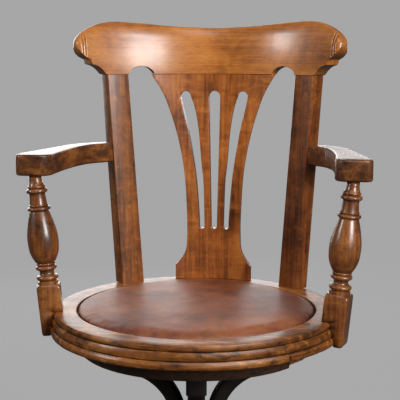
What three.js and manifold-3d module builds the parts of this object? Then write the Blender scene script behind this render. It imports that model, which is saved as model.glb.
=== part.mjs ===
// Swivel armchair with a round seat, a curved crest rail, turned arm supports and a castor base.
// Millimetres, +Z up, the chair faces -Y, and the origin is on the floor under the swivel axis.
// Heights inside the upper group and the base group are measured from the seat's rim.
import * as THREE from 'three';
import { mergeVertices } from 'three/addons/utils/BufferGeometryUtils.js';
import Module from 'manifold-3d';

// ---- driving dimensions ----
const SEAT_HEIGHT = 460;
const GAP = 0.3;
const SHAFT_SIDES = 16;
const RING_SIDES = 28;
const BASE_TURN = THREE.MathUtils.degToRad(8.7);

const RIM_RADIUS = 230;
const RIM_DEPTH = 36;
const REBATE_RADIUS = 195;
const REBATE_DEPTH = 12;
const RING_HOLE_RADIUS = 150;
const PAD_RADIUS = 192;
const PAD_EDGE_Z = -4;
const PAD_CROWN = 8;
const PAD_BOARD_THICKNESS = 6;
const BOARD_TOP_RADIUS = 205;
const BOARD_BOTTOM_RADIUS = 189;
const BOARD_BOTTOM_Z = -66;
const BOARD_JOINT_X = 159;
const BOARD_JOINT_GAP = 2.4;
const BOARD_EDGE_BOTTOM_Z = -57;

const BACK_DEPTH_AT_CENTRE = 231;
const BACK_SWEEP = 114;
const BACK_HALF_SPAN = 232;
const BACK_LEAN = 0.02;
const CREST_HALF_THICKNESS = 15;
const CREST_JOINT_Z = 372;
const CREST_NOSE_START = 217;
const CREST_EAR_END = 229.5;
const SPLAT_THICKNESS = 16;
const SPLAT_FRONT_Y = 209;

const ARM_BOTTOM_Z = 219;
const ARM_TOP_Z = 253;
const ARM_BEVEL = 5;
const SUPPORT_X = 228.2;
const SUPPORT_Y = -56;
const SUPPORT_LEAN = Math.atan(0.1034);
const SUPPORT_SIDES = 14;
const BLOCK_WIDTH = 37;
const BLOCK_BOTTOM = -38.7;

const PLATE_THICKNESS = 6;
const PLATE_SCREW_RADIUS = 80;
const BOSS_RADIUS = 21;
const BOSS_BOTTOM_Z = -90;
const SPINDLE_RADIUS = 10.5;
const SPINDLE_HEAD_RADIUS = 12.2;
const SPINDLE_BOTTOM_Z = -285;
const COLLAR_BOTTOM_Z = -99.6;
const WASHER_THICKNESS = 3;
const NUT_RADIUS = 24;
const NUT_BOTTOM_Z = -117;
const NUT_CLEARANCE = 1.6;
const TUBE_RADIUS = 14.6;
const TUBE_BOTTOM_Z = -292;

const LEG_WIDTH = 27;
const LEG_EDGE_RADIUS = 6;
const LEG_TOP_Z = -83.7;
const LEG_BEND_RADIUS = 97.5;
const LEG_BEND_CENTRE_R = 126.6;
const LEG_PAD_WIDTH = 32;
const LEG_PAD_INNER_R = 104;
const LEG_PAD_OUTER_R = 130;
const BAND_THICKNESS = 4;
const BAND_HEIGHT = 13;
const BAND_TOPS = [-199, -231];
const HEAD_RING_INNER = 102;
const HEAD_RING_OUTER = 129;
const HEAD_RING_THICKNESS = 7;
const HEAD_SCREW_RADIUS = 116;

const WHEEL_RADIUS = 21;
const WHEEL_WIDTH = 14;
const CASTOR_TRAIL = 15;
const CASTOR_SIDES = 12;
const STEM_RADIUS = 4.4;
const SOCKET_RADIUS = 6.5;
const SOCKET_DEPTH = 30;
const AXLE_RADIUS = 3;

// ---- materials ----
function finish(color, roughness, metalness = 0) {
  return new THREE.MeshStandardMaterial({ color, roughness, metalness });
}

const walnut = finish(0x8a5030, 0.35);
const darkWood = finish(0x3a2418, 0.6);
const leather = finish(0x6e3522, 0.45);
const blackIron = finish(0x2a2320, 0.5, 0.7);
const steel = finish(0x77716a, 0.4, 0.9);
const brass = finish(0x8d6f3a, 0.4, 0.9);

// ---- solids ----
const wasm = await Module();
wasm.setup();

// Returns the geometry with shared corners and with every face pointing out.
function closed(geometry) {
  const bare = geometry.clone();
  bare.deleteAttribute('normal');
  bare.deleteAttribute('uv');
  const merged = mergeVertices(bare, 1e-3);
  const position = merged.attributes.position;
  const index = merged.index.array;
  const [a, b, c] = [new THREE.Vector3(), new THREE.Vector3(), new THREE.Vector3()];
  let volume = 0;
  for (let i = 0; i < index.length; i += 3) {
    a.fromBufferAttribute(position, index[i]);
    b.fromBufferAttribute(position, index[i + 1]);
    c.fromBufferAttribute(position, index[i + 2]);
    volume += a.dot(b.cross(c));
  }
  if (volume < 0) {
    merged.setIndex(Array.from(index).reverse());
  }
  merged.computeVertexNormals();
  return merged;
}

function solidOf(geometry) {
  const merged = closed(geometry);
  return new wasm.Manifold(new wasm.Mesh({
    numProp: 3,
    vertProperties: Float32Array.from(merged.attributes.position.array),
    triVerts: Uint32Array.from(merged.index.array),
  }));
}

function geometryOf(solid) {
  const mesh = solid.getMesh();
  const geometry = new THREE.BufferGeometry();
  geometry.setAttribute('position', new THREE.BufferAttribute(mesh.vertProperties, 3));
  geometry.setIndex(new THREE.BufferAttribute(mesh.triVerts, 1));
  geometry.computeVertexNormals();
  return geometry;
}

function join(...geometries) {
  return geometryOf(geometries.map(solidOf).reduce((all, next) => all.add(next)));
}

function cut(geometry, ...tools) {
  return geometryOf(tools.map(solidOf).reduce((left, tool) => left.subtract(tool), solidOf(geometry)));
}

function common(geometry, tool) {
  return geometryOf(solidOf(geometry).intersect(solidOf(tool)));
}

// A body through a row of rings that have the same number of points, closed at both ends.
function loft(rings) {
  const count = rings[0].length;
  const points = rings.flat();
  const faces = [];
  for (let ring = 0; ring < rings.length - 1; ring++) {
    for (let i = 0; i < count; i++) {
      const a = ring * count + i;
      const b = ring * count + (i + 1) % count;
      faces.push(a, b, b + count, a, b + count, a + count);
    }
  }
  for (const ring of [0, rings.length - 1]) {
    const middle = points.length;
    points.push(rings[ring].reduce((sum, p) => sum.add(p), new THREE.Vector3()).divideScalar(count));
    for (let i = 0; i < count; i++) {
      const a = ring * count + i;
      const b = ring * count + (i + 1) % count;
      faces.push(...(ring === 0 ? [middle, b, a] : [middle, a, b]));
    }
  }
  const geometry = new THREE.BufferGeometry().setFromPoints(points);
  geometry.setIndex(faces);
  return closed(geometry);
}

// A body of revolution about +Z from [radius, z] pairs.
function turned(profile, sides, closesOnItself = false) {
  const pairs = closesOnItself ? [...profile, profile[0]] : profile;
  const geometry = new THREE.LatheGeometry(pairs.map(([r, z]) => new THREE.Vector2(r, z)), sides);
  return closed(geometry.rotateX(Math.PI / 2));
}

function cylinder(radius, bottom, top, sides = 12) {
  return turned([[0, bottom], [radius, bottom], [radius, top], [0, top]], sides);
}

function tube(inner, outer, bottom, top, sides) {
  return turned([[inner, bottom], [outer, bottom], [outer, top], [inner, top]], sides, true);
}

function block(x0, x1, y0, y1, z0, z1) {
  const geometry = new THREE.BoxGeometry(x1 - x0, y1 - y0, z1 - z0);
  return geometry.translate((x0 + x1) / 2, (y0 + y1) / 2, (z0 + z1) / 2);
}

// A rectangle with rounded corners, as [u, v] pairs going round once.
function roundedSection(width, height, radius, steps) {
  const pairs = [];
  for (let corner = 0; corner < 4; corner++) {
    const cu = (corner === 0 || corner === 3 ? 1 : -1) * (width / 2 - radius);
    const cv = (corner < 2 ? 1 : -1) * (height / 2 - radius);
    for (let step = 0; step <= steps; step++) {
      const angle = (corner + step / steps) * Math.PI / 2;
      pairs.push([cu + radius * Math.cos(angle), cv + radius * Math.sin(angle)]);
    }
  }
  return pairs;
}

// Straight-line interpolation in a list of [x, value] pairs.
function along(pairs, x) {
  const last = pairs.findIndex((pair) => pair[0] >= x);
  if (last === 0) {
    return pairs[0][1];
  }
  if (last < 0) {
    return pairs[pairs.length - 1][1];
  }
  const [[x0, v0], [x1, v1]] = [pairs[last - 1], pairs[last]];
  return THREE.MathUtils.mapLinear(x, x0, x1, v0, v1);
}

function addMesh(group, name, geometry, material) {
  const mesh = new THREE.Mesh(geometry, material);
  mesh.name = name;
  group.add(mesh);
  return mesh;
}

// A round-headed wood screw along Z, its head below z = 0 and its shank above.
const SCREW_HEAD_RADIUS = 5;
const SCREW_HEAD_HEIGHT = 3;
const SCREW_SHANK_RADIUS = 2.6;
const SCREW_SIDES = 8;

function screw(length) {
  return turned([
    [0, -SCREW_HEAD_HEIGHT], [SCREW_HEAD_RADIUS * 0.7, -SCREW_HEAD_HEIGHT],
    [SCREW_HEAD_RADIUS, -SCREW_HEAD_HEIGHT * 0.4], [SCREW_HEAD_RADIUS, 0],
    [SCREW_SHANK_RADIUS, 0], [SCREW_SHANK_RADIUS, length - 4], [0, length],
  ], SCREW_SIDES);
}

function screwHole(x, y, bottom, top) {
  return cylinder(SCREW_SHANK_RADIUS + 2 * GAP, bottom, top, SCREW_SIDES).translate(x, y, 0);
}

function quarterTurns(radius, start) {
  return [0, 1, 2, 3].map((k) => {
    const angle = start + k * Math.PI / 2;
    return [radius * Math.cos(angle), radius * Math.sin(angle)];
  });
}

// ---- back ----
// A point of the back's curved plan: x is the place along it, depth is how far behind its middle.
function backPoint(x, depth) {
  const slope = -2 * BACK_SWEEP * x / BACK_HALF_SPAN ** 2;
  const normal = new THREE.Vector2(-slope, 1).normalize();
  const y = BACK_DEPTH_AT_CENTRE - BACK_SWEEP * (x / BACK_HALF_SPAN) ** 2;
  return new THREE.Vector2(x + normal.x * depth, y + normal.y * depth);
}

const CREST_TOP = [
  [0, 453], [73, 456], [126, 461], [168, 464], [182, 463], [194, 460], [204, 456], [213, 450.6], [219, 446],
  [224, 440], [227.5, 433.5], [CREST_EAR_END, 427],
];
const CREST_EAR_BOTTOM = [
  [189, 372], [193, 378], [200, 385.6], [208, 389.4], [210.5, 391], [211.3, 398], [220, 403.5],
  [224.5, 409.5], [228, 416.5], [CREST_EAR_END, 422],
];
const CREST_STATIONS = [
  0, 35, 70, 110, 113, 119, 131.5, 144, 150, 153, 168, 182, 189, 193, 200, 208, 210.5, 211.3, 217, 221, 225,
  227.5, 229.1,
];
const SCOOP_CENTRE = 131.5;
const SCOOP_HALF_WIDTH = 21.5;
const SCOOP_HEIGHT = 14.5;

function crestBottom(x) {
  const across = (x - SCOOP_CENTRE) / SCOOP_HALF_WIDTH;
  if (Math.abs(across) < 1) {
    return CREST_JOINT_Z + SCOOP_HEIGHT * Math.sqrt(1 - across ** 2);
  }
  return along([[0, CREST_JOINT_Z], ...CREST_EAR_BOTTOM], x);
}

function crestHalfThickness(x) {
  const intoNose = (x - CREST_NOSE_START) / (CREST_EAR_END - CREST_NOSE_START);
  return CREST_HALF_THICKNESS * (intoNose > 0 ? Math.sqrt(1 - intoNose ** 2) : 1);
}

function crestRail() {
  const stations = [...CREST_STATIONS.slice(1).reverse().map((x) => -x), ...CREST_STATIONS];
  return loft(stations.map((station) => {
    const x = Math.abs(station);
    const half = crestHalfThickness(x);
    const bottom = crestBottom(x);
    const top = along(CREST_TOP, x);
    const radius = Math.min(9, half * 0.8);
    const section = [
      [-half, bottom], [half, bottom], [half, top - radius],
      [half - radius * 0.3, top - radius * 0.3], [half - radius, top],
      [-half + radius, top], [-half + radius * 0.3, top - radius * 0.3], [-half, top - radius],
    ];
    return section.map(([depth, z]) => {
      const point = backPoint(station, depth);
      return new THREE.Vector3(point.x, point.y, z);
    });
  }));
}

// The stile's four corners in plan at the seat and at the crest: inner front, outer front, outer
// back and inner back.
const STILE_FOOT = [[121.3, 169.7], [154, 141.8], [172.2, 163.1], [139.5, 191]];
const STILE_TOP_INNER = 154;
const STILE_TOP_OUTER = 187;
const STILE_TOP_HALF_THICKNESS = 14;
const STILE_HEAD = [
  backPoint(STILE_TOP_INNER, -STILE_TOP_HALF_THICKNESS),
  backPoint(STILE_TOP_OUTER, -STILE_TOP_HALF_THICKNESS),
  backPoint(STILE_TOP_OUTER, STILE_TOP_HALF_THICKNESS),
  backPoint(STILE_TOP_INNER, STILE_TOP_HALF_THICKNESS),
];

// side is 1 on the sitter's left (+X) and -1 on the other; grow moves every face out.
function stile(side, grow = 0) {
  const foot = STILE_FOOT.map(([x, y]) => new THREE.Vector2(x, y));
  const ring = (corners, z) => {
    const middle = corners.reduce((sum, p) => sum.add(p), new THREE.Vector2()).divideScalar(4);
    return corners.map((corner) => {
      const away = corner.clone().sub(middle);
      away.setLength(away.length() + grow * Math.SQRT2);
      return new THREE.Vector3(side * (middle.x + away.x), middle.y + away.y, z);
    });
  };
  return loft([ring(foot, GAP), ring(STILE_HEAD, CREST_JOINT_Z - GAP)]);
}

const SPLAT_EDGE = [
  [68.5, 27], [57, 40], [50.5, 54], [48.5, 74], [48.5, 115], [53, 193], [65.5, 262], [83, 320], [110, 372],
];
const SIDE_SLOT_INNER = [[17, 97], [19, 173], [23, 213], [28, 271], [35, 311], [42, 332]];
const SIDE_SLOT_OUTER = [[61, 332], [54, 300], [47, 271], [37, 213], [32, 173], [28, 120], [27, 97]];
const SIDE_SLOT_TOP = { x: 51.5, z: 332, radius: 9.5 };
const SIDE_SLOT_BOTTOM = { x: 22, z: 97, radius: 5 };
const MIDDLE_SLOT_TOP = { z: 331.5, radius: 10.5 };
const MIDDLE_SLOT_BOTTOM = { z: 97.5, radius: 5.5 };

function vectors(pairs, side = 1) {
  return pairs.map(([x, z]) => new THREE.Vector2(side * x, z));
}

function middleSlot() {
  const slot = new THREE.Path();
  slot.absarc(0, MIDDLE_SLOT_TOP.z, MIDDLE_SLOT_TOP.radius, 0, Math.PI, false);
  slot.absarc(0, MIDDLE_SLOT_BOTTOM.z, MIDDLE_SLOT_BOTTOM.radius, Math.PI, 2 * Math.PI, false);
  return slot;
}

function sideSlot(side) {
  const slot = new THREE.Path();
  const clockwise = side > 0;
  slot.moveTo(side * SIDE_SLOT_INNER[0][0], SIDE_SLOT_INNER[0][1]);
  slot.splineThru(vectors(SIDE_SLOT_INNER.slice(1), side));
  const start = side > 0 ? Math.PI : 0;
  const end = side > 0 ? 0 : Math.PI;
  slot.absarc(side * SIDE_SLOT_TOP.x, SIDE_SLOT_TOP.z, SIDE_SLOT_TOP.radius, start, end, clockwise);
  slot.splineThru(vectors(SIDE_SLOT_OUTER.slice(1), side));
  slot.absarc(side * SIDE_SLOT_BOTTOM.x, SIDE_SLOT_BOTTOM.z, SIDE_SLOT_BOTTOM.radius, end, start, clockwise);
  return slot;
}

function splat() {
  const outline = new THREE.Shape();
  outline.moveTo(-SPLAT_EDGE[0][0], GAP);
  outline.lineTo(SPLAT_EDGE[0][0], GAP);
  outline.lineTo(...SPLAT_EDGE[0]);
  outline.splineThru(vectors(SPLAT_EDGE.slice(1)));
  outline.lineTo(-SPLAT_EDGE[SPLAT_EDGE.length - 1][0], CREST_JOINT_Z);
  outline.splineThru(vectors(SPLAT_EDGE.slice(0, -1), -1).reverse());
  outline.holes = [middleSlot(), sideSlot(1), sideSlot(-1)];
  const depth = 120;
  const board = new THREE.ExtrudeGeometry(outline, { depth, bevelEnabled: false, curveSegments: 2 });
  board.rotateX(Math.PI / 2).translate(0, SPLAT_FRONT_Y + depth / 2, 0);

  // The bent and leaning sheet that the flat outline is taken from.
  const halfSpan = 110;
  const strips = 12;
  const rings = [];
  for (let i = 0; i <= strips; i++) {
    const x = THREE.MathUtils.mapLinear(i, 0, strips, -halfSpan, halfSpan);
    const front = SPLAT_FRONT_Y - BACK_SWEEP * (x / BACK_HALF_SPAN) ** 2;
    const corner = (depthIn, z) => new THREE.Vector3(x, front + depthIn + BACK_LEAN * z, z);
    const top = CREST_JOINT_Z - GAP;
    rings.push([corner(0, 0), corner(SPLAT_THICKNESS, 0), corner(SPLAT_THICKNESS, top), corner(0, top)]);
  }
  return common(board, loft(rings));
}

// ---- arms ----
// Plan edges of the arm, from inside the stile to the front and back again.
const ARM_INNER = [[165, 155], [178, 138], [199, 114], [216, 57], [222, 8], [223, -60]];
const ARM_OUTER = [[279, -48], [256, 45], [240, 112], [212, 148], [181, 168]];

function arm(side) {
  const outline = new THREE.Shape();
  outline.moveTo(side * ARM_INNER[0][0], ARM_INNER[0][1]);
  outline.splineThru(vectors(ARM_INNER.slice(1), side));
  outline.quadraticCurveTo(side * 223, -75, side * 238, -74);
  outline.lineTo(side * 270, -71);
  outline.quadraticCurveTo(side * 284, -69, side * ARM_OUTER[0][0], ARM_OUTER[0][1]);
  outline.splineThru(vectors(ARM_OUTER.slice(1), side));
  const board = new THREE.ExtrudeGeometry(outline, {
    depth: ARM_TOP_Z - ARM_BOTTOM_Z - 2 * ARM_BEVEL,
    bevelThickness: ARM_BEVEL, bevelSize: ARM_BEVEL, bevelOffset: -ARM_BEVEL, bevelSegments: 2,
    curveSegments: 2,
  });
  board.translate(0, 0, ARM_BOTTOM_Z + ARM_BEVEL);
  return cut(board, stile(side, GAP));
}

// The turned support's profile from the top down, as [radius, height].
const SUPPORT_PROFILE = [
  [0, 224], [10, 224], [11.6, 206], [13.8, 203], [17, 196], [14, 191], [12.7, 189], [14, 174], [18.5, 168],
  [15.4, 163], [19, 150], [24, 124], [24.5, 112], [23.3, 97], [19.5, 86], [15, 79], [16.5, 75], [16.5, 68],
  [11.4, 63], [17.5, 56], [16.5, 50], [16.5, 40], [0, 40],
];

function armSupport(side) {
  const square = (z, width) => roundedSection(width, width, 2.5, 1)
    .map(([u, v]) => new THREE.Vector3(u, v, z));
  const foot = loft([
    square(BLOCK_BOTTOM, BLOCK_WIDTH - 4), square(BLOCK_BOTTOM + 3, BLOCK_WIDTH),
    square(38, BLOCK_WIDTH), square(43, BLOCK_WIDTH - 7),
  ]);
  foot.rotateZ(-side * Math.atan2(-SUPPORT_Y, SUPPORT_X));
  const whole = join(turned(SUPPORT_PROFILE, SUPPORT_SIDES), foot);
  whole.rotateY(side * SUPPORT_LEAN).translate(side * SUPPORT_X, SUPPORT_Y, 0);
  const underArm = ARM_BOTTOM_Z - GAP;
  const above = block(-400, 400, -200, 200, underArm, underArm + 60);
  const rim = turned([
    [0, GAP], [RIM_RADIUS + GAP, GAP], [RIM_RADIUS + 9, -28], [RIM_RADIUS + 9, -60], [0, -60],
  ], RIM_SIDES);
  return cut(whole, above, rim);
}

// ---- seat ----
const RIM_SIDES = 44;

function seatRing() {
  return turned([
    [REBATE_RADIUS, 0], [228, 0], [230, -2], [231, -7], [229, -9], [232.5, -12], [234, -20], [231.5, -23],
    [236, -26], [238, -30], [237.5, -34], [234, -RIM_DEPTH], [RING_HOLE_RADIUS, -RIM_DEPTH],
    [RING_HOLE_RADIUS, -REBATE_DEPTH], [REBATE_RADIUS, -REBATE_DEPTH],
  ], RIM_SIDES, true);
}

function padBoard() {
  const bottom = -REBATE_DEPTH + GAP;
  return cylinder(PAD_RADIUS, bottom, bottom + PAD_BOARD_THICKNESS, RIM_SIDES);
}

function seatPad() {
  const bottom = -REBATE_DEPTH + PAD_BOARD_THICKNESS + 2 * GAP;
  return turned([
    [0, bottom], [PAD_RADIUS, bottom], [PAD_RADIUS + 0.5, PAD_EDGE_Z], [PAD_RADIUS - 5, 0],
    [PAD_RADIUS * 0.7, PAD_CROWN * 0.6], [0, PAD_CROWN],
  ], RIM_SIDES);
}

const PLATE_TOP_Z = BOARD_BOTTOM_Z - GAP;
const PLATE_BOTTOM_Z = PLATE_TOP_Z - PLATE_THICKNESS;
const PLATE_SCREWS = quarterTurns(PLATE_SCREW_RADIUS, Math.PI / 4);
const PLATE_SCREW_LENGTH = 22;

function underBoard(x0, x1, bottom) {
  const disc = turned([
    [0, -RIM_DEPTH - GAP], [BOARD_TOP_RADIUS, -RIM_DEPTH - GAP], [BOARD_TOP_RADIUS, -46],
    [BOARD_BOTTOM_RADIUS, BOARD_BOTTOM_Z], [0, BOARD_BOTTOM_Z],
  ], RIM_SIDES);
  const plank = common(disc, block(x0, x1, -300, 300, bottom, 0));
  const holeTop = PLATE_BOTTOM_Z + PLATE_SCREW_LENGTH + 2;
  const holes = PLATE_SCREWS.map(([x, y]) => screwHole(x, y, BOARD_BOTTOM_Z - 5, holeTop));
  return cut(plank, ...holes);
}

// ---- swivel and height screw ----
function seatPlate() {
  const halfWidth = 18;
  const reach = PLATE_SCREW_RADIUS + 6;
  const strap = new THREE.Shape();
  strap.absarc(reach - halfWidth, 0, halfWidth, -Math.PI / 2, Math.PI / 2, false);
  strap.absarc(halfWidth - reach, 0, halfWidth, Math.PI / 2, 3 * Math.PI / 2, false);
  const options = { depth: PLATE_THICKNESS, bevelEnabled: false, curveSegments: 3 };
  const straps = [1, -1].map((k) => new THREE.ExtrudeGeometry(strap, options)
    .rotateZ(k * Math.PI / 4).translate(0, 0, PLATE_BOTTOM_Z));
  const boss = tube(SPINDLE_HEAD_RADIUS + GAP, BOSS_RADIUS, BOSS_BOTTOM_Z, PLATE_BOTTOM_Z + 1, SHAFT_SIDES);
  const holes = PLATE_SCREWS.map(([x, y]) => screwHole(x, y, PLATE_BOTTOM_Z - 5, PLATE_TOP_Z + 5));
  return cut(join(...straps, boss), ...holes);
}

const COLLAR_TOP_Z = BOSS_BOTTOM_Z - WASHER_THICKNESS - 2 * GAP;

function spindle() {
  return turned([
    [0, SPINDLE_BOTTOM_Z], [SPINDLE_RADIUS - 2, SPINDLE_BOTTOM_Z], [SPINDLE_RADIUS, SPINDLE_BOTTOM_Z + 2],
    [SPINDLE_RADIUS, COLLAR_BOTTOM_Z], [19, COLLAR_BOTTOM_Z], [19, COLLAR_TOP_Z],
    [SPINDLE_HEAD_RADIUS, COLLAR_TOP_Z], [SPINDLE_HEAD_RADIUS, PLATE_BOTTOM_Z - 1.5],
    [SPINDLE_HEAD_RADIUS - 1, PLATE_BOTTOM_Z - GAP], [0, PLATE_BOTTOM_Z - GAP],
  ], SHAFT_SIDES);
}

function thrustWasher() {
  const top = BOSS_BOTTOM_Z - GAP;
  return tube(SPINDLE_HEAD_RADIUS + GAP, 20, top - WASHER_THICKNESS, top, SHAFT_SIDES);
}

// A hand nut with four finger lugs round it.
function heightNut() {
  const top = COLLAR_BOTTOM_Z - GAP;
  const body = cylinder(NUT_RADIUS - 3, NUT_BOTTOM_Z, top, SHAFT_SIDES);
  const lugs = quarterTurns(NUT_RADIUS - 5, 0).map(([x, y]) => cylinder(5, NUT_BOTTOM_Z + 3, top - 3)
    .translate(x, y, 0));
  const bore = cylinder(SPINDLE_RADIUS + NUT_CLEARANCE, NUT_BOTTOM_Z - 5, top + 5, SHAFT_SIDES);
  return cut(join(body, ...lugs), bore);
}

function nutTube() {
  const top = NUT_BOTTOM_Z - GAP;
  return turned([
    [SPINDLE_RADIUS + GAP, top], [TUBE_RADIUS + 4, top], [TUBE_RADIUS + 4, top - 5], [TUBE_RADIUS, top - 8],
    [TUBE_RADIUS, TUBE_BOTTOM_Z], [SPINDLE_RADIUS + GAP, TUBE_BOTTOM_Z],
  ], SHAFT_SIDES, true);
}

// ---- base ----
const ARC_STEP = THREE.MathUtils.degToRad(15);

// Walks a path in the [radius, z] plane; each step goes straight on or turns left along an arc.
function walk(start, heading, steps) {
  const stations = [{ r: start[0], z: start[1], heading }];
  for (const { straight = 0, radius = 0, turn = 0 } of steps) {
    const pieces = turn ? Math.ceil(Math.abs(turn) / ARC_STEP) : 1;
    for (let i = 0; i < pieces; i++) {
      const from = stations[stations.length - 1];
      const bend = turn / pieces;
      const length = turn ? 2 * radius * Math.sin(Math.abs(bend) / 2) : straight;
      const direction = from.heading + bend / 2;
      stations.push({
        r: from.r + length * Math.cos(direction),
        z: from.z + length * Math.sin(direction),
        heading: from.heading + bend,
      });
    }
  }
  return stations;
}

const LEG_CENTRE_Z = LEG_TOP_Z - LEG_WIDTH / 2;
const LEG_SPLAY = THREE.MathUtils.degToRad(76);
const LEG_ROUTE = walk([LEG_PAD_OUTER_R - 2, LEG_CENTRE_Z], Math.PI, [
  { straight: LEG_PAD_OUTER_R - 2 - LEG_BEND_CENTRE_R },
  { radius: LEG_BEND_RADIUS, turn: Math.PI / 2 },
  { straight: 52 },
  { radius: 95, turn: LEG_SPLAY },
  { straight: 122 },
  { radius: 35, turn: -LEG_SPLAY },
  { straight: 4 },
]);
const FOOT = LEG_ROUTE[LEG_ROUTE.length - 1];

function leg() {
  const section = roundedSection(LEG_WIDTH, LEG_WIDTH, LEG_EDGE_RADIUS, 1);
  const bar = loft(LEG_ROUTE.map(({ r, z, heading }) => section.map(([u, v]) => new THREE.Vector3(
    r - u * Math.sin(heading), v, z + u * Math.cos(heading),
  ))));
  const pad = roundedSection(LEG_PAD_OUTER_R - LEG_PAD_INNER_R, LEG_PAD_WIDTH, 4, 1);
  const padMiddle = (LEG_PAD_OUTER_R + LEG_PAD_INNER_R) / 2;
  const padRings = [LEG_TOP_Z, LEG_TOP_Z - LEG_WIDTH + 2].map((z) => pad.map(([u, v]) => (
    new THREE.Vector3(padMiddle + u, v, z))));
  const screwTop = LEG_TOP_Z + 5;
  const pilot = screwHole(HEAD_SCREW_RADIUS, 0, screwTop - HEAD_SCREW_LENGTH, screwTop);
  const stemHole = cylinder(SOCKET_RADIUS + GAP, FOOT.z - 5, FOOT.z + SOCKET_DEPTH + 3);
  return cut(join(bar, loft(padRings)), pilot, stemHole.translate(FOOT.r, 0, 0));
}

const HEAD_RING_BOTTOM = LEG_TOP_Z + GAP;
const HEAD_RING_TOP = HEAD_RING_BOTTOM + HEAD_RING_THICKNESS;
const HEAD_SCREW_LENGTH = 22;

function headRing() {
  const ring = tube(HEAD_RING_INNER, HEAD_RING_OUTER, HEAD_RING_BOTTOM, HEAD_RING_TOP, RING_SIDES);
  const holes = quarterTurns(HEAD_SCREW_RADIUS, 0).map(([x, y]) => (
    screwHole(x, y, HEAD_RING_BOTTOM - 5, HEAD_RING_TOP + 5)));
  return cut(ring, ...holes);
}

function legBand(top) {
  const outerFace = LEG_BEND_CENTRE_R - LEG_BEND_RADIUS + LEG_WIDTH / 2;
  const reach = Math.hypot(outerFace, LEG_WIDTH / 2 - LEG_EDGE_RADIUS);
  const inner = (reach + GAP) / Math.cos(Math.PI / RING_SIDES);
  return tube(inner, inner + BAND_THICKNESS, top - BAND_HEIGHT, top, RING_SIDES);
}

// ---- castor, with its stem on the local Z axis and the floor at floorZ ----
const SOCKET_FLANGE = 2;
const HORN_TOP_Z = FOOT.z - GAP - SOCKET_FLANGE - GAP;
const HORN_DISC_THICKNESS = 5;
const CHEEK_THICKNESS = 3;
const AXLE_Z = -SEAT_HEIGHT + WHEEL_RADIUS;

function castorSocket() {
  const flangeTop = FOOT.z - GAP;
  const flangeBottom = flangeTop - SOCKET_FLANGE;
  return turned([
    [STEM_RADIUS + GAP, flangeBottom], [12, flangeBottom], [12, flangeTop], [SOCKET_RADIUS, flangeTop],
    [SOCKET_RADIUS, flangeTop + SOCKET_DEPTH], [STEM_RADIUS + GAP, flangeTop + SOCKET_DEPTH],
  ], CASTOR_SIDES, true);
}

function castorHorn() {
  const discBottom = HORN_TOP_Z - HORN_DISC_THICKNESS;
  const stem = turned([
    [0, discBottom], [11, discBottom], [12.5, discBottom + 2], [12.5, HORN_TOP_Z], [STEM_RADIUS, HORN_TOP_Z],
    [STEM_RADIUS, HORN_TOP_Z + SOCKET_DEPTH - 2], [0, HORN_TOP_Z + SOCKET_DEPTH],
  ], CASTOR_SIDES);
  const cheek = new THREE.Shape();
  cheek.moveTo(-9, discBottom + 1);
  cheek.lineTo(9, discBottom + 1);
  cheek.lineTo(CASTOR_TRAIL + 7, AXLE_Z);
  cheek.absarc(CASTOR_TRAIL, AXLE_Z, 7, 0, -Math.PI * 0.8, true);
  const inside = WHEEL_WIDTH / 2 + 1;
  const options = { depth: CHEEK_THICKNESS, bevelEnabled: false, curveSegments: 3 };
  const cheeks = [-inside, inside + CHEEK_THICKNESS].map((y) => (
    new THREE.ExtrudeGeometry(cheek, options).rotateX(Math.PI / 2).translate(0, y, 0)));
  const bore = cylinder(AXLE_RADIUS + GAP, -30, 30).rotateX(Math.PI / 2);
  return cut(join(stem, ...cheeks), bore.translate(CASTOR_TRAIL, 0, AXLE_Z));
}

function castorWheel() {
  const half = WHEEL_WIDTH / 2;
  const wheel = turned([
    [AXLE_RADIUS + GAP, -half], [WHEEL_RADIUS - 3, -half], [WHEEL_RADIUS, -half + 2.5],
    [WHEEL_RADIUS, half - 2.5], [WHEEL_RADIUS - 3, half], [AXLE_RADIUS + GAP, half],
  ], 20, true);
  return wheel.rotateX(Math.PI / 2).translate(CASTOR_TRAIL, 0, AXLE_Z);
}

function castorAxle() {
  const reach = WHEEL_WIDTH / 2 + 1 + CHEEK_THICKNESS + GAP;
  const pin = turned([
    [0, -reach - 2], [AXLE_RADIUS + 2, -reach - 2], [AXLE_RADIUS + 2, -reach], [AXLE_RADIUS, -reach],
    [AXLE_RADIUS, reach], [AXLE_RADIUS + 2, reach], [AXLE_RADIUS + 2, reach + 2], [0, reach + 2],
  ], CASTOR_SIDES);
  return pin.rotateX(Math.PI / 2).translate(CASTOR_TRAIL, 0, AXLE_Z);
}

// ---- the chair ----
const chair = new THREE.Group();

const upper = new THREE.Group();
upper.position.z = SEAT_HEIGHT;
chair.add(upper);
addMesh(upper, 'crest_rail', crestRail(), walnut);
addMesh(upper, 'back_splat', splat(), walnut);
for (const [side, word] of [[-1, 'right'], [1, 'left']]) {
  addMesh(upper, `${word}_stile`, stile(side), walnut);
  addMesh(upper, `${word}_arm`, arm(side), walnut);
  addMesh(upper, `${word}_arm_support`, armSupport(side), walnut);
}
addMesh(upper, 'seat_ring', seatRing(), walnut);
addMesh(upper, 'seat_pad', seatPad(), leather);
addMesh(upper, 'pad_board', padBoard(), darkWood);
addMesh(upper, 'under_board', underBoard(-300, BOARD_JOINT_X, BOARD_BOTTOM_Z - 1), darkWood);
const edgeBoard = underBoard(BOARD_JOINT_X + BOARD_JOINT_GAP, 300, BOARD_EDGE_BOTTOM_Z);
addMesh(upper, 'under_board_edge', edgeBoard, darkWood);
addMesh(upper, 'seat_plate', seatPlate(), blackIron);
PLATE_SCREWS.forEach(([x, y], i) => {
  const mesh = addMesh(upper, `plate_screw_${i + 1}`, screw(PLATE_SCREW_LENGTH), steel);
  mesh.position.set(x, y, PLATE_BOTTOM_Z - GAP);
});

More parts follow.
